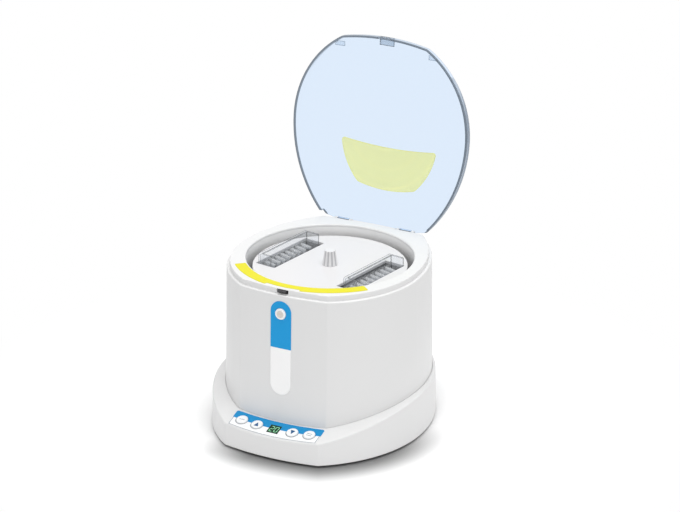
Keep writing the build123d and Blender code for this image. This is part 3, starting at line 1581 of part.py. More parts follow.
def rim_arc(radius, start, end):
    ThreePointArc(on_rim(radius, start), on_rim(radius, (start + end) / 2), on_rim(radius, end))


# Yellow strip on the rim, narrow in the middle
with BuildPart() as rim_strip:
    with BuildSketch(Plane.XY.offset(rim_top_z)) as strip_face:
        with BuildLine():
            rim_arc(strip_inner_radius, strip_right_angle, strip_left_angle)
            Line(on_rim(strip_inner_radius, strip_left_angle), on_rim(strip_wide_radius, strip_left_angle))
            rim_arc(strip_wide_radius, strip_left_angle, strip_narrow_left)
            Line(on_rim(strip_wide_radius, strip_narrow_left), on_rim(strip_narrow_radius, strip_narrow_left))
            rim_arc(strip_narrow_radius, strip_narrow_left, strip_narrow_right)
            Line(on_rim(strip_narrow_radius, strip_narrow_right), on_rim(strip_wide_radius, strip_narrow_right))
            rim_arc(strip_wide_radius, strip_narrow_right, strip_right_angle)
            Line(on_rim(strip_wide_radius, strip_right_angle), on_rim(strip_inner_radius, strip_right_angle))
        make_face()
        fillet(strip_face.vertices(), radius=strip_corner_round)
    extrude(amount=strip_thickness)
save(rim_strip.part, "rim_strip")
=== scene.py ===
import json
from math import cos, pi, radians, sin

import bpy
import numpy as np
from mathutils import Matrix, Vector


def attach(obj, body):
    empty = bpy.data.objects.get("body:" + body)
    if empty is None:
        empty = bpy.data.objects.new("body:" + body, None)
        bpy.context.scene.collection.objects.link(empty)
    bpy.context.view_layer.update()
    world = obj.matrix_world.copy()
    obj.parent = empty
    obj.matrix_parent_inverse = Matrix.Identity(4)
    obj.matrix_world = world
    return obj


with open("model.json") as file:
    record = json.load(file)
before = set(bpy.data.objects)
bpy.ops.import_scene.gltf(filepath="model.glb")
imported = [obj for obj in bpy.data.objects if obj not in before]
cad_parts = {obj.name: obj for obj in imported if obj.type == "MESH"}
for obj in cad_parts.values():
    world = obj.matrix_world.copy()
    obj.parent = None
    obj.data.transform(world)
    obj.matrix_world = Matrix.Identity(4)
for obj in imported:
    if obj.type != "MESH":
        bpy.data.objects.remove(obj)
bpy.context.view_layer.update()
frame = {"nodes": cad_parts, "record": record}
nodes = frame["nodes"]
mm = 0.001
print("frame loaded:", len(nodes), "nodes")

scene = bpy.context.scene
scene.view_settings.view_transform = "Standard"


# Camera

view = {
    "azimuth": 27.9,
    "elevation": 22.2,
    "distance": 3371.3 * mm,
    "side": 10.6 * mm,
    "rise": 168.3 * mm,
    "focalPixels": 3095.7,
    "frameWidth": 680,
    "sensor": 36.0,
    "near": 0.05,
    "far": 50.0,
}


# the camera stands back from the rotor's foot along one direction,
# then steps sideways and up in its own plane
def placeCamera(v):
    a, e = radians(v["azimuth"]), radians(v["elevation"])
    back = Vector((sin(a) * cos(e), -cos(a) * cos(e), sin(e)))
    right = Vector((cos(a), sin(a), 0))
    up = back.cross(right)
    data = bpy.data.cameras.new("camera")
    data.sensor_width = v["sensor"]
    data.lens = v["focalPixels"] / v["frameWidth"] * v["sensor"]
    data.clip_start, data.clip_end = v["near"], v["far"]
    cam = bpy.data.objects.new("camera", data)
    cam.location = back * v["distance"] + right * v["side"] + up * v["rise"]
    cam.rotation_mode = "QUATERNION"
    cam.rotation_quaternion = (-back).to_track_quat("-Z", "Y")
    scene.collection.objects.link(cam)
    scene.camera = cam


placeCamera(view)
print("camera is set")


# Node helpers

# an empty material and its tree
def newTree(name):
    material = bpy.data.materials.new(name)
    material.use_nodes = True
    tree = material.node_tree
    tree.nodes.clear()
    return material, tree


# one node, with its settings
def addNode(tree, kind, **settings):
    node = tree.nodes.new(kind)
    for key, value in settings.items():
        setattr(node, key, value)
    return node


# a value or a link goes into a socket
def feed(tree, socket, value):
    if isinstance(value, bpy.types.NodeSocket):
        tree.links.new(value, socket)
    else:
        socket.default_value = value


# one Math node over numbers and sockets
def calc(tree, operation, *values, clamp=False):
    node = addNode(tree, "ShaderNodeMath", operation=operation, use_clamp=clamp)
    for socket, value in zip(node.inputs, values):
        feed(tree, socket, value)
    return node.outputs[0]


# 0 below start, 1 above end, smooth between; start may be the larger one
def step(tree, value, start, end):
    node = addNode(tree, "ShaderNodeMapRange", interpolation_type="SMOOTHSTEP")
    node.inputs["From Min"].default_value, node.inputs["From Max"].default_value = start, end
    tree.links.new(value, node.inputs["Value"])
    return node.outputs["Result"]


# a where the factor is 0, b where it is 1
def blendColour(tree, factor, a, b):
    node = addNode(tree, "ShaderNodeMix", data_type="RGBA")
    for name, value in (("Factor", factor), ("A", a), ("B", b)):
        feed(tree, node.inputs[name], value)
    return node.outputs["Result"]


# sRGB triple, 0 to 255, as the linear colour that a shader takes
def colour(r, g, b):
    parts = np.array([r, g, b], float) / 255
    linear = np.where(parts <= 0.04045, parts / 12.92, ((parts + 0.055) / 1.055) ** 2.4)
    return (float(linear[0]), float(linear[1]), float(linear[2]), 1.0)


# Floor and light

studio = {
    "worldStrength": 0.52,
    "lamps": [
        # name, place, aim, width, height, power
        ("topSoftbox", (0.2, -0.15, 1.85), (0, 0, 0.1), 1.7, 1.7, 24.8),
        ("rightFill", (1.9, -0.5, 0.8), (0, 0, 0.15), 1.3, 1.3, 2.2),
        ("frontCard", (-0.1, -2.2, 0.7), (0, 0, 0.15), 1.2, 0.9, 1.5),
    ],
}


# a ray that looks at the background: from the camera, off gloss or through clear plastic
def lookingRay(tree):
    path = addNode(tree, "ShaderNodeLightPath")
    seen = calc(tree, "MAXIMUM", path.outputs["Is Camera Ray"], path.outputs["Is Transmission Ray"])
    return calc(tree, "MAXIMUM", seen, path.outputs["Is Glossy Ray"])


# flat light from all round; a looking ray sees plain white
def makeWorld(s):
    world = bpy.data.worlds.new("studioWorld")
    world.use_nodes = True
    tree = world.node_tree
    tree.nodes.clear()
    out = addNode(tree, "ShaderNodeOutputWorld")
    lit = addNode(tree, "ShaderNodeBackground")
    seen = addNode(tree, "ShaderNodeBackground")
    lit.inputs["Color"].default_value = seen.inputs["Color"].default_value = (1, 1, 1, 1)
    lit.inputs["Strength"].default_value = s["worldStrength"]
    seen.inputs["Strength"].default_value = 1.0
    mix = addNode(tree, "ShaderNodeMixShader")
    tree.links.new(lookingRay(tree), mix.inputs[0])
    tree.links.new(lit.outputs[0], mix.inputs[1])
    tree.links.new(seen.outputs[0], mix.inputs[2])
    tree.links.new(mix.outputs[0], out.inputs["Surface"])
    scene.world = world


# soft boxes, each turned to look at its aim
def makeLamps(s):
    for name, place, aim, width, height, power in s["lamps"]:
        data = bpy.data.lights.new(name, "AREA")
        data.shape = "RECTANGLE"
        data.size, data.size_y = width, height
        data.energy = power
        lamp = bpy.data.objects.new(name, data)
        lamp.location = place
        lamp.rotation_mode = "QUATERNION"
        lamp.rotation_quaternion = (Vector(aim) - Vector(place)).to_track_quat("-Z", "Y")
        scene.collection.objects.link(lamp)


floorSheet = {
    "grey": 0.93,            # for light that bounces off it
    "seenGrey": 1.22,        # for looking rays, so the open floor is white and its shadow stays
    "turns": 180,
    "centre": (0.0, -0.016),
    "steps": [-0.06, -0.02, -0.008, 0, 0.004, 0.008, 0.013, 0.018, 0.024, 0.03, 0.037, 0.045,
              0.055, 0.07, 0.09, 0.12, 0.2, 0.4, 1.0, 6.0],
    # the shade keys set a painted contact shadow on the floor round the base's outline
    "shadeWidth": 0.031,
    "shadeDepth": 0.8,
    "shadeSide": (0.5, -0.866),
    "shadeFrom": 0.1,        # of the outline's turn to the shadow's side, as a cosine
    "shadeSpan": 0.7,
    "shadeSmooth": 7,
    "shadeLeast": 0.24,
    "whiteFrom": 0.17,
    "whiteTo": 0.42,
}


# outline of a node from above: in each direction the nearest of its tangent lines, h / cos(angle between),
# where a line that runs nearly along the direction counts as far away
def outlineFromAbove(node, centre, turns):
    leastCosine, farAway = 0.05, 9.0
    points = np.array([v.co[:2] for v in nodes[node].data.vertices]) - centre
    angle = np.arange(turns) * 2 * pi / turns
    ways = np.stack([np.cos(angle), np.sin(angle)])
    reach = (points @ ways).max(0)
    between = ways.T @ ways
    radius = np.where(between > leastCosine, reach[None, :] / np.maximum(between, leastCosine), farAway)
    nearest = radius.argmin(1)
    return ways.T, radius[np.arange(turns), nearest], ways.T[nearest]


# floor: rings at outline + step round the base, and on each point a painted contact shadow of strength
# lean * exp(-(step / width)^2), where lean rises from 0 to 1 as the outline turns to the shadow's side,
# is averaged over its neighbours, and is shadeLeast or more all round
def makeFloor(s):
    ways, radius, facing = outlineFromAbove("base_shell", np.array(s["centre"]), s["turns"])
    steps = np.array(s["steps"])
    places = np.array(s["centre"]) + ways[None] * (radius[None, :, None] + steps[:, None, None])
    lean = np.clip((facing @ np.array(s["shadeSide"]) - s["shadeFrom"]) / s["shadeSpan"], 0, 1)
    lean = lean * lean * (3 - 2 * lean)
    lean = np.mean([np.roll(lean, k) for k in range(-s["shadeSmooth"], s["shadeSmooth"] + 1)], 0)
    lean = np.maximum(lean, s["shadeLeast"])
    shade = lean[None] * np.exp(-(np.maximum(steps, 0)[:, None] / s["shadeWidth"]) ** 2)
    rings, turns = shade.shape
    flat = np.zeros((rings * turns + 1, 3))
    flat[:-1, :2] = places.reshape(-1, 2)
    flat[-1, :2] = s["centre"]
    j, i = np.meshgrid(np.arange(rings - 1), np.arange(turns), indexing="ij")
    after = (i + 1) % turns
    quads = np.stack([j * turns + i, (j + 1) * turns + i, (j + 1) * turns + after, j * turns + after], -1)
    middle = [(rings * turns, k, (k + 1) % turns) for k in range(turns)]
    mesh = bpy.data.meshes.new("floor")
    mesh.from_pydata(flat.tolist(), [], quads.reshape(-1, 4).tolist() + middle)
    # the painted contact shadow is kept on the floor's points
    contactShade = mesh.attributes.new("contact", "FLOAT", "POINT")
    contactShade.data.foreach_set("value", np.append(shade.ravel(), 1.0))
    floor = bpy.data.objects.new("floor", mesh)
    scene.collection.objects.link(floor)

    material, tree = newTree("floorSheet")
    out = addNode(tree, "ShaderNodeOutputMaterial")
    coords = addNode(tree, "ShaderNodeTexCoord")
    away = addNode(tree, "ShaderNodeVectorMath", operation="LENGTH")
    contact = addNode(tree, "ShaderNodeAttribute", attribute_name="contact")
    matt = addNode(tree, "ShaderNodeBsdfDiffuse")
    matt.inputs["Color"].default_value = (s["grey"], s["grey"], s["grey"], 1)
    seen = addNode(tree, "ShaderNodeBsdfDiffuse")
    white = addNode(tree, "ShaderNodeEmission")
    looking = lookingRay(tree)
    link = tree.links.new
    link(coords.outputs["Object"], away.inputs[0])
    # looking rays see the floor's grey darkened by the painted contact shadow
    shadedGrey = calc(tree, "MULTIPLY_ADD", contact.outputs["Fac"], -s["shadeDepth"] * s["seenGrey"],
                      s["seenGrey"])
    link(shadedGrey, seen.inputs["Color"])
    far = step(tree, away.outputs["Value"], s["whiteFrom"], s["whiteTo"])
    near = addNode(tree, "ShaderNodeMixShader")
    link(looking, near.inputs[0])
    link(matt.outputs[0], near.inputs[1])
    link(seen.outputs[0], near.inputs[2])
    mix = addNode(tree, "ShaderNodeMixShader")
    link(calc(tree, "MULTIPLY", far, looking), mix.inputs[0])
    link(near.outputs[0], mix.inputs[1])
    link(white.outputs[0], mix.inputs[2])
    link(mix.outputs[0], out.inputs["Surface"])
    mesh.materials.append(material)


makeWorld(studio)
makeLamps(studio)
makeFloor(floorSheet)
print("floor and light are set")


# Shared effects, each a node group

# an empty group with its sockets, and its two ends
def newGroup(name, inputs, outputs):
    group = bpy.data.node_groups.new(name, "ShaderNodeTree")
    for socketName, kind, value in inputs:
        socket = group.interface.new_socket(name=socketName, in_out="INPUT", socket_type=kind)
        socket.default_value = value
    for socketName, kind in outputs:
        group.interface.new_socket(name=socketName, in_out="OUTPUT", socket_type=kind)
    start = addNode(group, "NodeGroupInput")
    end = addNode(group, "NodeGroupOutput")
    return group, start.outputs, end.inputs


grainNoise = {"fineDetail": 2.0, "broadDetail": 3.0, "middle": 0.5, "offset": 0.2, "gain": 2.5}


# moulded grain: a fine noise for the skin's texture, and a broad one for slow changes of tone and gloss;
# the colour is darkened by gain * (noise - middle + offset) * tone change
def makeGrainGroup():
    s = grainNoise
    group, start, end = newGroup(
        "mouldedGrain",
        [("Colour", "NodeSocketColor", (1, 1, 1, 1)), ("Grain Scale", "NodeSocketFloat", 900.0),
         ("Tone Scale", "NodeSocketFloat", 9.0), ("Tone Change", "NodeSocketFloat", 0.03),
         ("Roughness", "NodeSocketFloat", 0.4), ("Roughness Change", "NodeSocketFloat", 0.08)],
        [("Colour", "NodeSocketColor"), ("Roughness", "NodeSocketFloat"), ("Height", "NodeSocketFloat")],
    )
    coords = addNode(group, "ShaderNodeTexCoord")
    fine = addNode(group, "ShaderNodeTexNoise")
    broad = addNode(group, "ShaderNodeTexNoise")
    fine.inputs["Detail"].default_value = s["fineDetail"]
    broad.inputs["Detail"].default_value = s["broadDetail"]
    tint = addNode(group, "ShaderNodeVectorMath", operation="SCALE")
    link = group.links.new
    link(coords.outputs["Object"], fine.inputs["Vector"])
    link(coords.outputs["Object"], broad.inputs["Vector"])
    link(start["Grain Scale"], fine.inputs["Scale"])
    link(start["Tone Scale"], broad.inputs["Scale"])
    spread = calc(group, "SUBTRACT", broad.outputs["Fac"], s["middle"])
    over = calc(group, "ADD", spread, s["offset"], clamp=True)
    darker = calc(group, "MULTIPLY", over, start["Tone Change"])
    link(start["Colour"], tint.inputs[0])
    link(calc(group, "SUBTRACT", 1.0, calc(group, "MULTIPLY", darker, s["gain"])), tint.inputs["Scale"])
    link(tint.outputs[0], end["Colour"])
    rough = calc(group, "MULTIPLY_ADD", spread, start["Roughness Change"], start["Roughness"])
    link(rough, end["Roughness"])
    link(fine.outputs["Fac"], end["Height"])
    return group


# soft edge: the bevelled normal, and the mask gain * (1 - bevelled normal . face's own normal)
def makeEdgeGroup():
    group, start, end = newGroup(
        "softEdge",
        [("Radius", "NodeSocketFloat", 0.0006), ("Gain", "NodeSocketFloat", 6.0)],
        [("Normal", "NodeSocketVector"), ("Mask", "NodeSocketFloat")],
    )
    bevel = addNode(group, "ShaderNodeBevel", samples=6)
    face = addNode(group, "ShaderNodeNewGeometry")
    dot = addNode(group, "ShaderNodeVectorMath", operation="DOT_PRODUCT")
    link = group.links.new
    link(start["Radius"], bevel.inputs["Radius"])
    link(bevel.outputs["Normal"], dot.inputs[0])
    link(face.outputs["Normal"], dot.inputs[1])
    away = calc(group, "SUBTRACT", 1.0, dot.outputs["Value"])
    link(bevel.outputs["Normal"], end["Normal"])
    link(calc(group, "MULTIPLY", away, start["Gain"], clamp=True), end["Mask"])
    return group


brushDetail = 3.0


# brushed metal: noise drawn out along one axis, which darkens the colour and roughens it by the same tone
def makeBrushGroup():
    group, start, end = newGroup(
        "brushedLines",
        [("Colour", "NodeSocketColor", (0.6, 0.6, 0.6, 1)), ("Stretch", "NodeSocketVector", (400, 400, 30)),
         ("Contrast", "NodeSocketFloat", 0.12), ("Roughness", "NodeSocketFloat", 0.3)],
        [("Colour", "NodeSocketColor"), ("Roughness", "NodeSocketFloat"), ("Height", "NodeSocketFloat")],
    )
    coords = addNode(group, "ShaderNodeTexCoord")
    drawn = addNode(group, "ShaderNodeVectorMath", operation="MULTIPLY")
    noise = addNode(group, "ShaderNodeTexNoise")
    noise.inputs["Scale"].default_value, noise.inputs["Detail"].default_value = 1.0, brushDetail
    tint = addNode(group, "ShaderNodeVectorMath", operation="SCALE")
    link = group.links.new
    link(coords.outputs["Object"], drawn.inputs[0])
    link(start["Stretch"], drawn.inputs[1])
    link(drawn.outputs[0], noise.inputs["Vector"])
    tone = calc(group, "MULTIPLY", noise.outputs["Fac"], start["Contrast"])
    link(start["Colour"], tint.inputs[0])
    link(calc(group, "SUBTRACT", 1.0, tone), tint.inputs["Scale"])
    link(tint.outputs[0], end["Colour"])
    link(calc(group, "ADD", tone, start["Roughness"]), end["Roughness"])
    link(noise.outputs["Fac"], end["Height"])
    return group


# height over a plane: (point - origin) . normal, in metres
def makePlaneGroup():
    group, start, end = newGroup(
        "planeHeight",
        [("Origin", "NodeSocketVector", (0, 0, 0)), ("Normal", "NodeSocketVector", (0, 0, 1))],
        [("Height", "NodeSocketFloat")],
    )
    coords = addNode(group, "ShaderNodeTexCoord")
    offset = addNode(group, "ShaderNodeVectorMath", operation="SUBTRACT")
    dot = addNode(group, "ShaderNodeVectorMath", operation="DOT_PRODUCT")
    link = group.links.new
    link(coords.outputs["Object"], offset.inputs[0])
    link(start["Origin"], offset.inputs[1])
    link(offset.outputs[0], dot.inputs[0])
    link(start["Normal"], dot.inputs[1])
    link(dot.outputs["Value"], end["Height"])
    return group


grainGroup = makeGrainGroup()
edgeGroup = makeEdgeGroup()
brushGroup = makeBrushGroup()
planeGroup = makePlaneGroup()


# a group in a tree with its own values, where _ stands for a space in a socket's name
def useGroup(tree, group, **values):
    node = addNode(tree, "ShaderNodeGroup", node_tree=group)
    for key, value in values.items():
        feed(tree, node.inputs[key.replace("_", " ")], value)
    return node.outputs


# height of a point over the plane through origin
def heightOver(tree, normal, origin=(0, 0, 0)):
    return useGroup(tree, planeGroup, Origin=origin, Normal=normal)["Height"]


# length over two legs, sqrt(a^2 + b^2)
def legs(tree, a, b):
    squares = calc(tree, "ADD", calc(tree, "MULTIPLY", a, a), calc(tree, "MULTIPLY", b, b))
    return calc(tree, "SQRT", squares)


# 1 within half of a line's middle, 0 from half + blur on
def lineAt(tree, distance, half, blur):
    return step(tree, calc(tree, "ABSOLUTE", distance), half + blur, half)


# Materials

# what a moulding has where its own settings say nothing else
moulded = {
    "grainScale": 900.0,
    "grainStrength": 0.05,
    "grainDepth": 0.2 * mm,
    "toneScale": 9.0,
    "toneChange": 0.03,
    "roughnessChange": 0.08,
    "edgeRadius": 0.6 * mm,
    "specular": 0.5,
    "glow": 0.0,
}


# the moulded grain with a finish's own values
def useGrain(tree, base, s):
    return useGroup(tree, grainGroup, Colour=base, Grain_Scale=s["grainScale"], Tone_Scale=s["toneScale"],
                    Tone_Change=s["toneChange"], Roughness=s["roughness"],
                    Roughness_Change=s["roughnessChange"])


# moulded plastic, film or rubber: grain, slow tone and softened edges over one principled shader;
# paint takes the tree and the colour so far, and gives the colour with what it lays on: the panel's print,
# the painted shade in the knob's flutes, the painted shade of the button's dish
def plastic(name, settings, paint=None):
    s = moulded | settings
    material, tree = newTree(name)
    out = addNode(tree, "ShaderNodeOutputMaterial")
    shader = addNode(tree, "ShaderNodeBsdfPrincipled")
    grain = useGrain(tree, s["colour"], s)
    edge = useGroup(tree, edgeGroup, Radius=s["edgeRadius"])
    painted = paint(tree, grain["Colour"]) if paint else grain["Colour"]
    # edgeColour is painted where the edge mask is: lighter on the housing as a painted highlight, darker and
    # bluer on the keys
    if "edgeColour" in s:
        painted = blendColour(tree, edge["Mask"], painted, s["edgeColour"])
    bump = addNode(tree, "ShaderNodeBump")
    bump.inputs["Strength"].default_value = s["grainStrength"]
    bump.inputs["Distance"].default_value = s["grainDepth"]
    shader.inputs["Specular IOR Level"].default_value = s["specular"]
    shader.inputs["Emission Color"].default_value = s["colour"]
    shader.inputs["Emission Strength"].default_value = s["glow"]
    link = tree.links.new
    link(painted, shader.inputs["Base Color"])
    link(grain["Roughness"], shader.inputs["Roughness"])
    link(grain["Height"], bump.inputs["Height"])
    link(edge["Normal"], bump.inputs["Normal"])
    link(bump.outputs["Normal"], shader.inputs["Normal"])
    link(shader.outputs["BSDF"], out.inputs["Surface"])
    return material


# what a metal has where its own settings say nothing else
brushed = {
    "stretch": (400, 400, 30),
    "contrast": 0.12,
    "lineStrength": 0.06,
    "lineDepth": 0.2 * mm,
    "edgeRadius": 0.3 * mm,
}


# metal: brushed lines over a metallic shader
def metal(name, settings):
    s = brushed | settings
    material, tree = newTree(name)
    out = addNode(tree, "ShaderNodeOutputMaterial")
    shader = addNode(tree, "ShaderNodeBsdfPrincipled")
    shader.inputs["Metallic"].default_value = 1.0
    lines = useGroup(tree, brushGroup, Colour=s["colour"], Stretch=s["stretch"], Contrast=s["contrast"],
                     Roughness=s["roughness"])
    edge = useGroup(tree, edgeGroup, Radius=s["edgeRadius"])
    bump = addNode(tree, "ShaderNodeBump")
    bump.inputs["Strength"].default_value = s["lineStrength"]
    bump.inputs["Distance"].default_value = s["lineDepth"]
    link = tree.links.new
    link(lines["Colour"], shader.inputs["Base Color"])
    link(lines["Roughness"], shader.inputs["Roughness"])
    link(lines["Height"], bump.inputs["Height"])
    link(edge["Normal"], bump.inputs["Normal"])
    link(bump.outputs["Normal"], shader.inputs["Normal"])
    link(shader.outputs["BSDF"], out.inputs["Surface"])
    return material


# what a clear plastic has where its own settings say nothing else
clear = {
    "grainScale": 300.0,
    "toneScale": 14.0,
    "toneChange": 0.02,
    "roughnessChange": 0.05,
    "edgeGain": 8.0,
    "facingBlend": 0.35,
    "slantStart": 0.35,      # of Layer Weight's Facing, which is 1 where the skin is seen along itself
    "slantEnd": 0.95,
    "slantShade": 0.0,
}


# clear plastic: a thin tinted skin, covered from cover to edgeCover as it is seen more along its surface,
# with painted shade that darkens it where it is seen along its surface and along its edges; band takes the
# tree and gives a mask of a part in painted shade, in the edge shade colour, such as an end face, and milk
# one of a part in the gloss colour, such as thick tubes
def clearPlastic(name, settings, band=None, milk=None):
    s = clear | settings
    material, tree = newTree(name)
    out = addNode(tree, "ShaderNodeOutputMaterial")
    shader = addNode(tree, "ShaderNodeBsdfPrincipled")
    grain = useGrain(tree, s["gloss"], s)
    edge = useGroup(tree, edgeGroup, Radius=s["edgeRadius"], Gain=s["edgeGain"])
    # painted shade along the edges, and where the band's mask is, in the edge shade colour
    lines = calc(tree, "MULTIPLY", edge["Mask"], s["edgeShade"])
    if band:
        lines = calc(tree, "MAXIMUM", lines, calc(tree, "MULTIPLY", band(tree), s["bandCover"]))
    through = addNode(tree, "ShaderNodeBsdfTransparent")
    facing = addNode(tree, "ShaderNodeLayerWeight")
    facing.inputs["Blend"].default_value = s["facingBlend"]
    slant = step(tree, facing.outputs["Facing"], s["slantStart"], s["slantEnd"])
    # painted shade: the see-through tint turns darker, to edgeTint, as the skin is seen along its surface
    thin = blendColour(tree, slant, s["tint"], s["edgeTint"])
    cover = calc(tree, "MULTIPLY_ADD", slant, s["edgeCover"] - s["cover"], s["cover"])
    # and painted shade lines where the skin is seen along its surface
    lines = calc(tree, "MAXIMUM", lines, calc(tree, "MULTIPLY", slant, s["slantShade"]))
    if milk:
        cover = calc(tree, "MAXIMUM", cover, calc(tree, "MULTIPLY", milk(tree), s["milkCover"]))
    path = addNode(tree, "ShaderNodeLightPath")
    lit = calc(tree, "SUBTRACT", 1.0, path.outputs["Is Shadow Ray"])
    share = calc(tree, "MULTIPLY", calc(tree, "MAXIMUM", cover, lines), lit)
    mix = addNode(tree, "ShaderNodeMixShader")
    link = tree.links.new
    link(thin, through.inputs["Color"])
    link(blendColour(tree, lines, grain["Colour"], s["edgeShadeColour"]), shader.inputs["Base Color"])
    link(grain["Roughness"], shader.inputs["Roughness"])
    link(share, mix.inputs[0])
    link(through.outputs[0], mix.inputs[1])
    link(shader.outputs["BSDF"], mix.inputs[2])
    link(mix.outputs[0], out.inputs["Surface"])
    return material


shelf = {"origin": (0, -110.0 * mm, 34.15 * mm), "tilt": radians(16.5)}
shelf["upSlope"] = (0, cos(shelf["tilt"]), sin(shelf["tilt"]))
shelf["normal"] = (0, -sin(shelf["tilt"]), cos(shelf["tilt"]))

# the keys' middles on the shelf, to the right and up the slope
keyPlaces = {
    "key_start": (-40.4 * mm, -12.8 * mm),
    "key_up": (-21.2 * mm, -15.0 * mm),
    "key_down": (21.2 * mm, -15.0 * mm),
    "key_stop": (40.4 * mm, -12.8 * mm),
}

panelPrint = {
    "white": colour(250, 251, 252),
    "line": colour(158, 164, 168),
    "halfWidth": 52.6 * mm,
    "blueMiddle": -15.4 * mm,    # the blue half ends here in the middle, and higher by blueRise at the ends
    "blueRise": 4.4 * mm,
    "frontMiddle": -28.0 * mm,
    "frontRise": 5.0 * mm,
    "lineInset": 0.9 * mm,
    "lineHalf": 0.33 * mm,
    "ringRadius": 6.95 * mm,
    "ringHalf": 0.3 * mm,
    "blur": 0.15 * mm,
}


# panel print: blue behind and white before the arc v = middle + rise * (u / half)^2, with a thin grey line
# that follows the white half's own edge, and one round each key, at the ring's radius from its middle
def paintPanel(tree, below):
    s = panelPrint
    u = heightOver(tree, (1, 0, 0))
    v = heightOver(tree, shelf["upSlope"], shelf["origin"])
    share = calc(tree, "DIVIDE", u, s["halfWidth"])
    square = calc(tree, "MULTIPLY", share, share)
    split = calc(tree, "SUBTRACT", v, calc(tree, "MULTIPLY_ADD", square, s["blueRise"], s["blueMiddle"]))
    blue = step(tree, split, -s["blur"], s["blur"])
    front = calc(tree, "SUBTRACT", v, calc(tree, "MULTIPLY_ADD", square, s["frontRise"], s["frontMiddle"]))
    side = calc(tree, "SUBTRACT", s["halfWidth"], calc(tree, "ABSOLUTE", u))
    line = lineAt(tree, calc(tree, "SUBTRACT", calc(tree, "MINIMUM", front, side), s["lineInset"]),
                  s["lineHalf"], s["blur"])
    for keyU, keyV in keyPlaces.values():
        away = legs(tree, calc(tree, "SUBTRACT", u, keyU), calc(tree, "SUBTRACT", v, keyV))
        ring = lineAt(tree, calc(tree, "SUBTRACT", away, s["ringRadius"]), s["ringHalf"], s["blur"])
        line = calc(tree, "MAXIMUM", line, ring)
    white = blendColour(tree, line, s["white"], s["line"])
    return blendColour(tree, blue, white, below)


# painted shade for the knob's flutes
fluteShade = {
    "foot": 172.3 * mm,
    "height": 16.5 * mm,
    "footRadius": 8.2 * mm,
    "topRadius": 5.8 * mm,
    "shallow": 0.12 * mm,
    "depth": 0.6 * mm,
    "capStart": 0.9 * mm,
    "capEnd": 0.2 * mm,
    "shade": colour(188, 188, 191),
}


# knob: painted shade in the flutes, darker where the distance to the axis falls below the cone's own radius,
# which is in the flutes, and not on its cap
def paintFluteShade(tree, below):
    s = fluteShade
    x, y = heightOver(tree, (1, 0, 0)), heightOver(tree, (0, 1, 0))
    rise = heightOver(tree, (0, 0, 1), (0, 0, s["foot"]))
    taper = (s["topRadius"] - s["footRadius"]) / s["height"]
    cone = calc(tree, "MULTIPLY_ADD", rise, taper, s["footRadius"])
    sunk = calc(tree, "SUBTRACT", cone, legs(tree, x, y))
    side = step(tree, rise, s["height"] - s["capEnd"], s["height"] - s["capStart"])
    mask = calc(tree, "MULTIPLY", step(tree, sunk, s["shallow"], s["depth"]), side)
    return blendColour(tree, mask, below, s["shade"])


buttonShade = {
    "centre": (0, 0, 156.0 * mm),
    "inner": 3.6 * mm,
    "outer": 4.6 * mm,
    "ring": colour(252, 252, 252),
}


# button: painted shade, a darker and warmer dished middle inside a lighter ring, by the distance to the
# button's axis
def paintButtonShade(tree, below):
    s = buttonShade
    away = legs(tree, heightOver(tree, (1, 0, 0)), heightOver(tree, (0, 0, 1), s["centre"]))
    return blendColour(tree, step(tree, away, s["inner"], s["outer"]), below, s["ring"])


tubeZone = {"top": 173.6 * mm, "low": 172.2 * mm}


# microplate: the rows of tubes start this far below the frame's top edge
def tubeZoneMask(tree):
    return step(tree, heightOver(tree, (0, 0, 1)), tubeZone["top"], tubeZone["low"])


lidEdge = {
    "hinge": (0, 103.2 * mm, 180.2 * mm),
    "opening": radians(96.8),
    "band": 1.3 * mm,
    "fade": 0.4 * mm,
    "skirtBottom": -3.2 * mm,    # heights are over the hinge's level with the lid shut
    "stubTop": 5.5 * mm,
    "stubStart": -7.3 * mm,      # from here back the edge is the slanting corner
    "corner": (0.657, 0.754),    # the corner's outward direction, to the side and back
    "cornerReach": 38.9 * mm,
    # the wall keys set painted shade that greys the lid's right wall, with a darker crest
    "wallTop": 6.6 * mm,
    "wallFrom": 40.0 * mm,       # the right wall turns grey from here to the side
    "wallFull": 72.0 * mm,
    "wallShare": 0.66,
    "crestShare": 0.9,
    "arcMiddle": (-45.0 * mm, -105.0 * mm),
    "arcRadius": 150.0 * mm,
    "arcInside": 3.4 * mm,
}


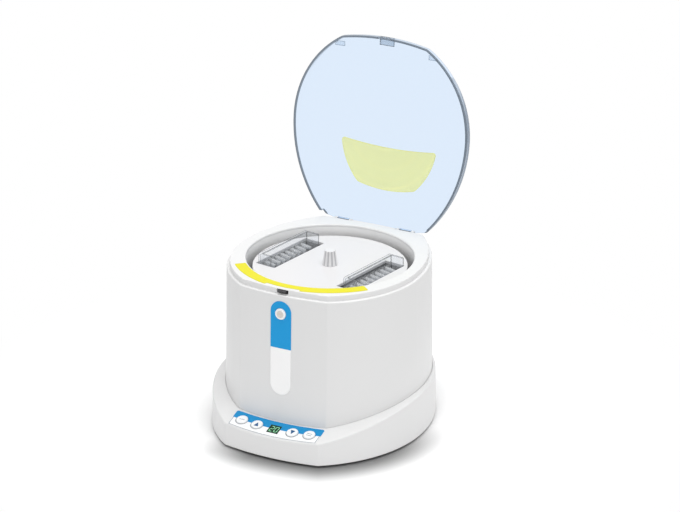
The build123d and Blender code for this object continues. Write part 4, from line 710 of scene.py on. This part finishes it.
# lid edge, a mask of painted shade: with the lid shut, a point's height is (point - hinge) . up and its way
# back (point - hinge) . rear; the dark edge is close to the skirt's bottom, or near the hinge close to the
# corner's outside, by |x| * sideways + back * rearwards; painted shade greys the right wall up to its crest,
# which is darker, where the distance to the side arc's middle is close to the arc's radius
def lidEdgeShade(tree):
    s = lidEdge
    height = heightOver(tree, (0, sin(s["opening"]), cos(s["opening"])), s["hinge"])
    back = heightOver(tree, (0, cos(s["opening"]), -sin(s["opening"])), s["hinge"])
    x = heightOver(tree, (1, 0, 0))
    skirt = step(tree, height, s["skirtBottom"] + s["band"] + s["fade"], s["skirtBottom"] + s["band"])
    sideways, rearwards = s["corner"]
    out = calc(tree, "ADD", calc(tree, "MULTIPLY", calc(tree, "ABSOLUTE", x), sideways),
               calc(tree, "MULTIPLY", back, rearwards))
    cornerStart = s["cornerReach"] - s["band"]
    corner = step(tree, out, cornerStart - s["fade"], cornerStart)
    stub = calc(tree, "MULTIPLY", step(tree, back, s["stubStart"], s["stubStart"] + s["fade"]),
                step(tree, height, s["stubTop"], s["stubTop"] - s["fade"]))
    wall = step(tree, height, s["wallTop"] + s["fade"], s["wallTop"])
    wall = calc(tree, "MULTIPLY", wall, s["wallShare"])
    crest = lineAt(tree, calc(tree, "SUBTRACT", height, s["wallTop"]), s["band"] - s["fade"], s["fade"])
    wall = calc(tree, "MAXIMUM", wall, calc(tree, "MULTIPLY", crest, s["crestShare"]))
    middleX, middleBack = s["arcMiddle"]
    reach = legs(tree, calc(tree, "SUBTRACT", x, middleX), calc(tree, "SUBTRACT", back, middleBack))
    inside = s["arcRadius"] - s["arcInside"]
    wall = calc(tree, "MULTIPLY", wall, step(tree, reach, inside - s["fade"], inside))
    side = calc(tree, "MULTIPLY", wall, step(tree, x, s["wallFrom"], s["wallFull"]))
    return calc(tree, "MAXIMUM", skirt, calc(tree, "MAXIMUM", side, calc(tree, "MULTIPLY", corner, stub)))


# the finish of each material slot in the part's record
finishes = {
    # housing: its lighter edge colour is a painted highlight along the rounded edges
    "white_shell": plastic("housingWhite", {
        "colour": colour(233, 233, 233), "roughness": 0.42, "toneChange": 0.012,
        "edgeColour": colour(240, 240, 240), "edgeRadius": 0.9 * mm}),
    "dark_plate": plastic("bottomPlateGrey", {
        "colour": colour(62, 62, 64), "roughness": 0.6, "grainStrength": 0.2}),
    "foot_rubber": plastic("footRubber", {
        "colour": colour(38, 38, 39), "roughness": 0.8, "grainStrength": 0.3}),
    "screw_steel": metal("screwSteel", {"colour": colour(176, 178, 181), "roughness": 0.32}),
    "bowl_grey": plastic("bowlGrey", {
        "colour": colour(249, 249, 249), "roughness": 0.4, "toneChange": 0.02}),
    "strip_yellow": plastic("stripYellow", {
        "colour": colour(229, 221, 16), "roughness": 0.55, "toneChange": 0.02}),
    "badge_blue": plastic("badgeBlue", {
        "colour": colour(8, 159, 226), "roughness": 0.45, "toneChange": 0.02, "specular": 0.3}),
    # the badge's white glows faintly in its own colour, painted light, though the badge is no lamp
    "badge_white": plastic("badgeWhite", {
        "colour": colour(253, 253, 253), "roughness": 0.3, "toneChange": 0.01, "glow": 0.03}),
    # the button's own colour here is the darker, warmer middle of its painted shade
    "button_white": plastic("buttonWhite", {
        "colour": colour(224, 218, 212), "roughness": 0.35}, paintButtonShade),
    "latch_dark": plastic("latchDark", {
        "colour": colour(52, 52, 54), "roughness": 0.5, "grainStrength": 0.2}),
    "spring_steel": metal("springSteel", {"colour": colour(150, 152, 155), "roughness": 0.25}),
    "switch_black": plastic("switchBlack", {"colour": colour(34, 34, 35), "roughness": 0.5}),
    "overlay_blue": plastic("panelFilm", {
        "colour": colour(6, 143, 205), "roughness": 0.45, "toneChange": 0.02, "specular": 0.3}, paintPanel),
    "display_dark": plastic("displayDark", {
        "colour": colour(20, 60, 38), "roughness": 0.2, "specular": 0.3}),
    "module_black": plastic("moduleBlack", {"colour": colour(28, 28, 30), "roughness": 0.4}),
    "board_green": plastic("boardGreen", {
        "colour": colour(28, 92, 54), "roughness": 0.45, "toneScale": 40.0, "toneChange": 0.1}),
    "key_white": plastic("keyWhite", {
        "colour": colour(250, 251, 252), "roughness": 0.4, "edgeRadius": 1.0 * mm,
        "edgeColour": colour(130, 158, 178)}),
    "motor_steel": metal("motorSteel", {"colour": colour(150, 152, 156), "roughness": 0.38}),
    "core_steel": metal("coreSteel", {
        "colour": colour(112, 110, 110), "roughness": 0.5, "stretch": (60, 60, 2600)}),
    "winding_copper": metal("windingCopper", {
        "colour": colour(196, 118, 66), "roughness": 0.35, "stretch": (60, 60, 1800)}),
    "magnet_grey": metal("magnetGrey", {"colour": colour(84, 84, 88), "roughness": 0.45}),
    "bearing_steel": metal("bearingSteel", {"colour": colour(206, 208, 210), "roughness": 0.15}),
    "shaft_steel": metal("shaftSteel", {
        "colour": colour(190, 192, 195), "roughness": 0.22, "stretch": (30, 30, 900)}),
    "seal_rubber": plastic("sealRubber", {"colour": colour(40, 40, 41), "roughness": 0.7}),
    "plate_steel": metal("plateSteel", {"colour": colour(168, 170, 173), "roughness": 0.4}),
    "hub_aluminium": metal("hubAluminium", {"colour": colour(208, 210, 212), "roughness": 0.3}),
    "disc_white": plastic("discWhite", {
        "colour": colour(229, 228, 229), "roughness": 0.35, "toneChange": 0.01}),
    "carrier_grey": plastic("carrierGrey", {
        "colour": colour(92, 93, 95), "roughness": 0.5, "grainStrength": 0.15}),
    "knob_grey": plastic("knobGrey", {"colour": colour(232, 232, 233), "roughness": 0.35}, paintFluteShade),
    "plate_clear": clearPlastic("plateClear", {
        "tint": colour(250, 251, 252), "edgeTint": colour(196, 199, 202), "gloss": colour(244, 245, 247),
        "edgeShadeColour": colour(40, 43, 47), "roughness": 0.15, "cover": 0.05, "edgeCover": 0.3,
        "edgeShade": 1.0, "edgeRadius": 1.1 * mm, "milkCover": 0.27}, milk=tubeZoneMask),
    # the lid's dark edge, its grey right wall and its dark lines where it is seen along itself are painted
    # shade
    "lid_clear": clearPlastic("lidClear", {
        "tint": colour(239, 246, 254), "edgeTint": colour(150, 162, 176), "gloss": colour(214, 228, 246),
        "edgeShadeColour": colour(84, 96, 108), "roughness": 0.05, "cover": 0.02, "edgeCover": 0.3,
        "edgeShade": 0.45, "edgeRadius": 0.5 * mm, "slantStart": 0.52, "slantEnd": 0.86, "slantShade": 0.75,
        "bandCover": 0.9}, band=lidEdgeShade),
    "film_yellow": clearPlastic("filmYellow", {
        "tint": colour(255, 255, 222), "edgeTint": colour(246, 247, 200), "gloss": colour(255, 255, 204),
        "edgeShadeColour": colour(238, 240, 120), "roughness": 0.4, "cover": 0.5, "edgeCover": 0.6,
        "edgeShade": 0.8, "edgeRadius": 1.4 * mm}),
    "bumper_grey": clearPlastic("bumperClear", {
        "tint": colour(246, 249, 252), "edgeTint": colour(196, 204, 212), "gloss": colour(222, 230, 238),
        "edgeShadeColour": colour(92, 102, 114), "roughness": 0.2, "cover": 0.1, "edgeCover": 0.3,
        "edgeShade": 0.85, "edgeRadius": 0.9 * mm}),
    "bracket_white": plastic("bracketWhite", {"colour": colour(226, 227, 228), "roughness": 0.4}),
    "inlet_black": plastic("inletBlack", {
        "colour": colour(30, 30, 31), "roughness": 0.45, "grainStrength": 0.15}),
    "rocker_black": plastic("rockerBlack", {"colour": colour(24, 24, 25), "roughness": 0.3}),
    "cable_grey": plastic("cableGrey", {"colour": colour(172, 173, 176), "roughness": 0.55}),
    "part_mixed": plastic("partDark", {"colour": colour(44, 48, 58), "roughness": 0.45}),
}

# the hook shares the lid's plastic, and shows it thicker and with plainer painted shade along its edges
hookClear = clearPlastic("hookClear", {
    "tint": colour(232, 238, 244), "edgeTint": colour(150, 160, 172), "gloss": colour(206, 214, 222),
    "edgeShadeColour": colour(62, 70, 80), "roughness": 0.12, "cover": 0.2, "edgeCover": 0.5,
    "edgeShade": 1.0, "edgeRadius": 1.4 * mm})


# each node gets its slot's finish
def dressNodes():
    for row in frame["record"]["subparts"]:
        mesh = nodes[row["node"]].data
        mesh.materials.clear()
        mesh.materials.append(hookClear if row["node"] == "lid_hook" else finishes[row["material_slot"]])


dressNodes()
print("materials are on", len(nodes), "nodes")


# Printed marks on the keys and lit digits on the display

marks = {
    "crown": 0.07 * mm,
    "sink": 0.05 * mm,
    "along": 17,
    "across": 7,
    "endShare": 12,              # a strip's crown is full from 1 / endShare of its length on
    "keyTop": 1.3 * mm,
    "displayTop": 0.5 * mm,
    "arrowLength": 6.2 * mm,
    "arrowHalf": 3.5 * mm,
    "arrowTip": 0.02 * mm,
    "barLength": 6.6 * mm,
    "barHalf": 0.45 * mm,
    "barTip": 0.03 * mm,
    "barRise": 1.3 * mm,
    "digitMiddle": (0.0, -15.9 * mm),
    "digitStep": 5.4 * mm,
    "digitHigh": 7.6 * mm,
    "digitWide": 3.5 * mm,
    "digitLean": 0.35 * mm,
    "digitGap": 0.12 * mm,
    "segmentHalf": 0.42 * mm,
}

printBlue = plastic("printBlue", {"colour": colour(16, 84, 134), "roughness": 0.5, "grainScale": 1800.0})
printGrey = plastic("printGrey", {"colour": colour(140, 154, 162), "roughness": 0.5, "grainScale": 1800.0})
digitGreen = plastic("digitGreen", {
    "colour": colour(150, 232, 176), "roughness": 0.4, "grainScale": 1800.0, "glow": 0.25})


# a strip on the shelf's plane: along its middle line from start to end, as wide as the profile says at each
# place; its height is top + (crown + sink) * (1 - across^4) - sink, and falls to the sunk border at both ends
def stripPoints(start, end, profile, top):
    m = marks
    t, a = np.meshgrid(np.linspace(0, 1, m["along"]), np.linspace(-1, 1, m["across"]), indexing="ij")
    start, end = np.array(start, float), np.array(end, float)
    way = (end - start) / np.linalg.norm(end - start)
    cross = np.array([-way[1], way[0]])
    flat = start + t[..., None] * (end - start) + (a * profile(t))[..., None] * cross
    ends = np.minimum(1, np.minimum(t, 1 - t) * m["endShare"])
    high = top + (m["crown"] + m["sink"]) * (1 - a ** 4) * ends - m["sink"]
    right = np.array((1.0, 0, 0))
    return (np.array(shelf["origin"]) + flat[..., :1] * right + flat[..., 1:] * np.array(shelf["upSlope"])
            + high[..., None] * np.array(shelf["normal"]))


# strips in one mesh: each is a grid of along by across points, and neighbours on it make the faces
def makeMarks(name, strips, material, body):
    rows, columns = marks["along"], marks["across"]
    j, i = np.meshgrid(np.arange(rows - 1), np.arange(columns - 1), indexing="ij")
    first = (j * columns + i).ravel()
    quads = np.stack([first, first + columns, first + columns + 1, first + 1], -1)
    starts = np.arange(len(strips)) * rows * columns
    mesh = bpy.data.meshes.new(name)
    mesh.from_pydata(np.concatenate([points.reshape(-1, 3) for points in strips]).tolist(), [],
                     (quads[None] + starts[:, None, None]).reshape(-1, 4).tolist())
    if mesh.polygons[len(quads) // 2].normal.dot(Vector(shelf["normal"])) < 0:
        mesh.flip_normals()
    mesh.shade_smooth()
    mesh.materials.append(material)
    piece = bpy.data.objects.new(name, mesh)
    scene.collection.objects.link(piece)
    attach(piece, body)


# arrow: half width falls evenly from foot to tip; way is 1 up the slope and -1 down it
def arrow(place, way):
    m = marks
    u, v = place
    half = m["arrowLength"] / 2
    return stripPoints((u, v - way * half), (u, v + way * half),
                       lambda t: m["arrowHalf"] * (1 - t) + m["arrowTip"], m["keyTop"])


# bar: one width, drawn in at both ends like a lozenge
def bar(start, end, half, top):
    length = np.hypot(end[0] - start[0], end[1] - start[1])
    return stripPoints(start, end,
                       lambda t: np.minimum(half, np.minimum(t, 1 - t) * length + marks["barTip"]), top)


# digit: a bar for each lit side of a leaning box of two squares, with a gap at both of its ends
def digit(number, middle):
    m = marks
    w, h, lean = m["digitWide"] / 2, m["digitHigh"] / 2, m["digitLean"]
    corners = {"topLeft": (-w + lean, h), "topRight": (w + lean, h), "left": (-w, 0), "right": (w, 0),
               "lowLeft": (-w - lean, -h), "lowRight": (w - lean, -h)}
    sides = [("topLeft", "topRight"), ("topRight", "right"), ("right", "lowRight"), ("lowLeft", "lowRight"),
             ("left", "lowLeft"), ("topLeft", "left"), ("left", "right")]
    lit = {2: (0, 1, 6, 4, 3), 0: (0, 1, 2, 3, 4, 5)}[number]
    strips = []
    for k in lit:
        a, b = (np.array(corners[name]) + middle for name in sides[k])
        gap = (b - a) / np.linalg.norm(b - a) * m["digitGap"]
        strips.append(bar(a + gap, b - gap, m["segmentHalf"], m["displayTop"]))
    return strips


# arrows, one bar and two bars ride on their keys, and the digits on the window
def makePanelMarks():
    m = marks
    half = np.array((m["barLength"] / 2, 0))
    rise = np.array((0, m["barRise"]))
    makeMarks("arrow_up_print", [arrow(keyPlaces["key_up"], 1)], printBlue, "key_up")
    makeMarks("arrow_down_print", [arrow(keyPlaces["key_down"], -1)], printBlue, "key_down")
    start, stop = np.array(keyPlaces["key_start"]), np.array(keyPlaces["key_stop"])
    startBar = bar(start - half, start + half, m["barHalf"], m["keyTop"])
    stopBars = [bar(stop - half + lift, stop + half + lift, m["barHalf"], m["keyTop"])
                for lift in (-rise, rise)]
    makeMarks("start_print", [startBar], printGrey, "key_start")
    makeMarks("stop_print", stopBars, printGrey, "key_stop")
    middle = np.array(m["digitMiddle"])
    side = np.array((m["digitStep"] / 2, 0))
    makeMarks("display_digits", digit(2, middle - side) + digit(0, middle + side), digitGreen, "base")


makePanelMarks()
print("key marks and digits are on the panel")
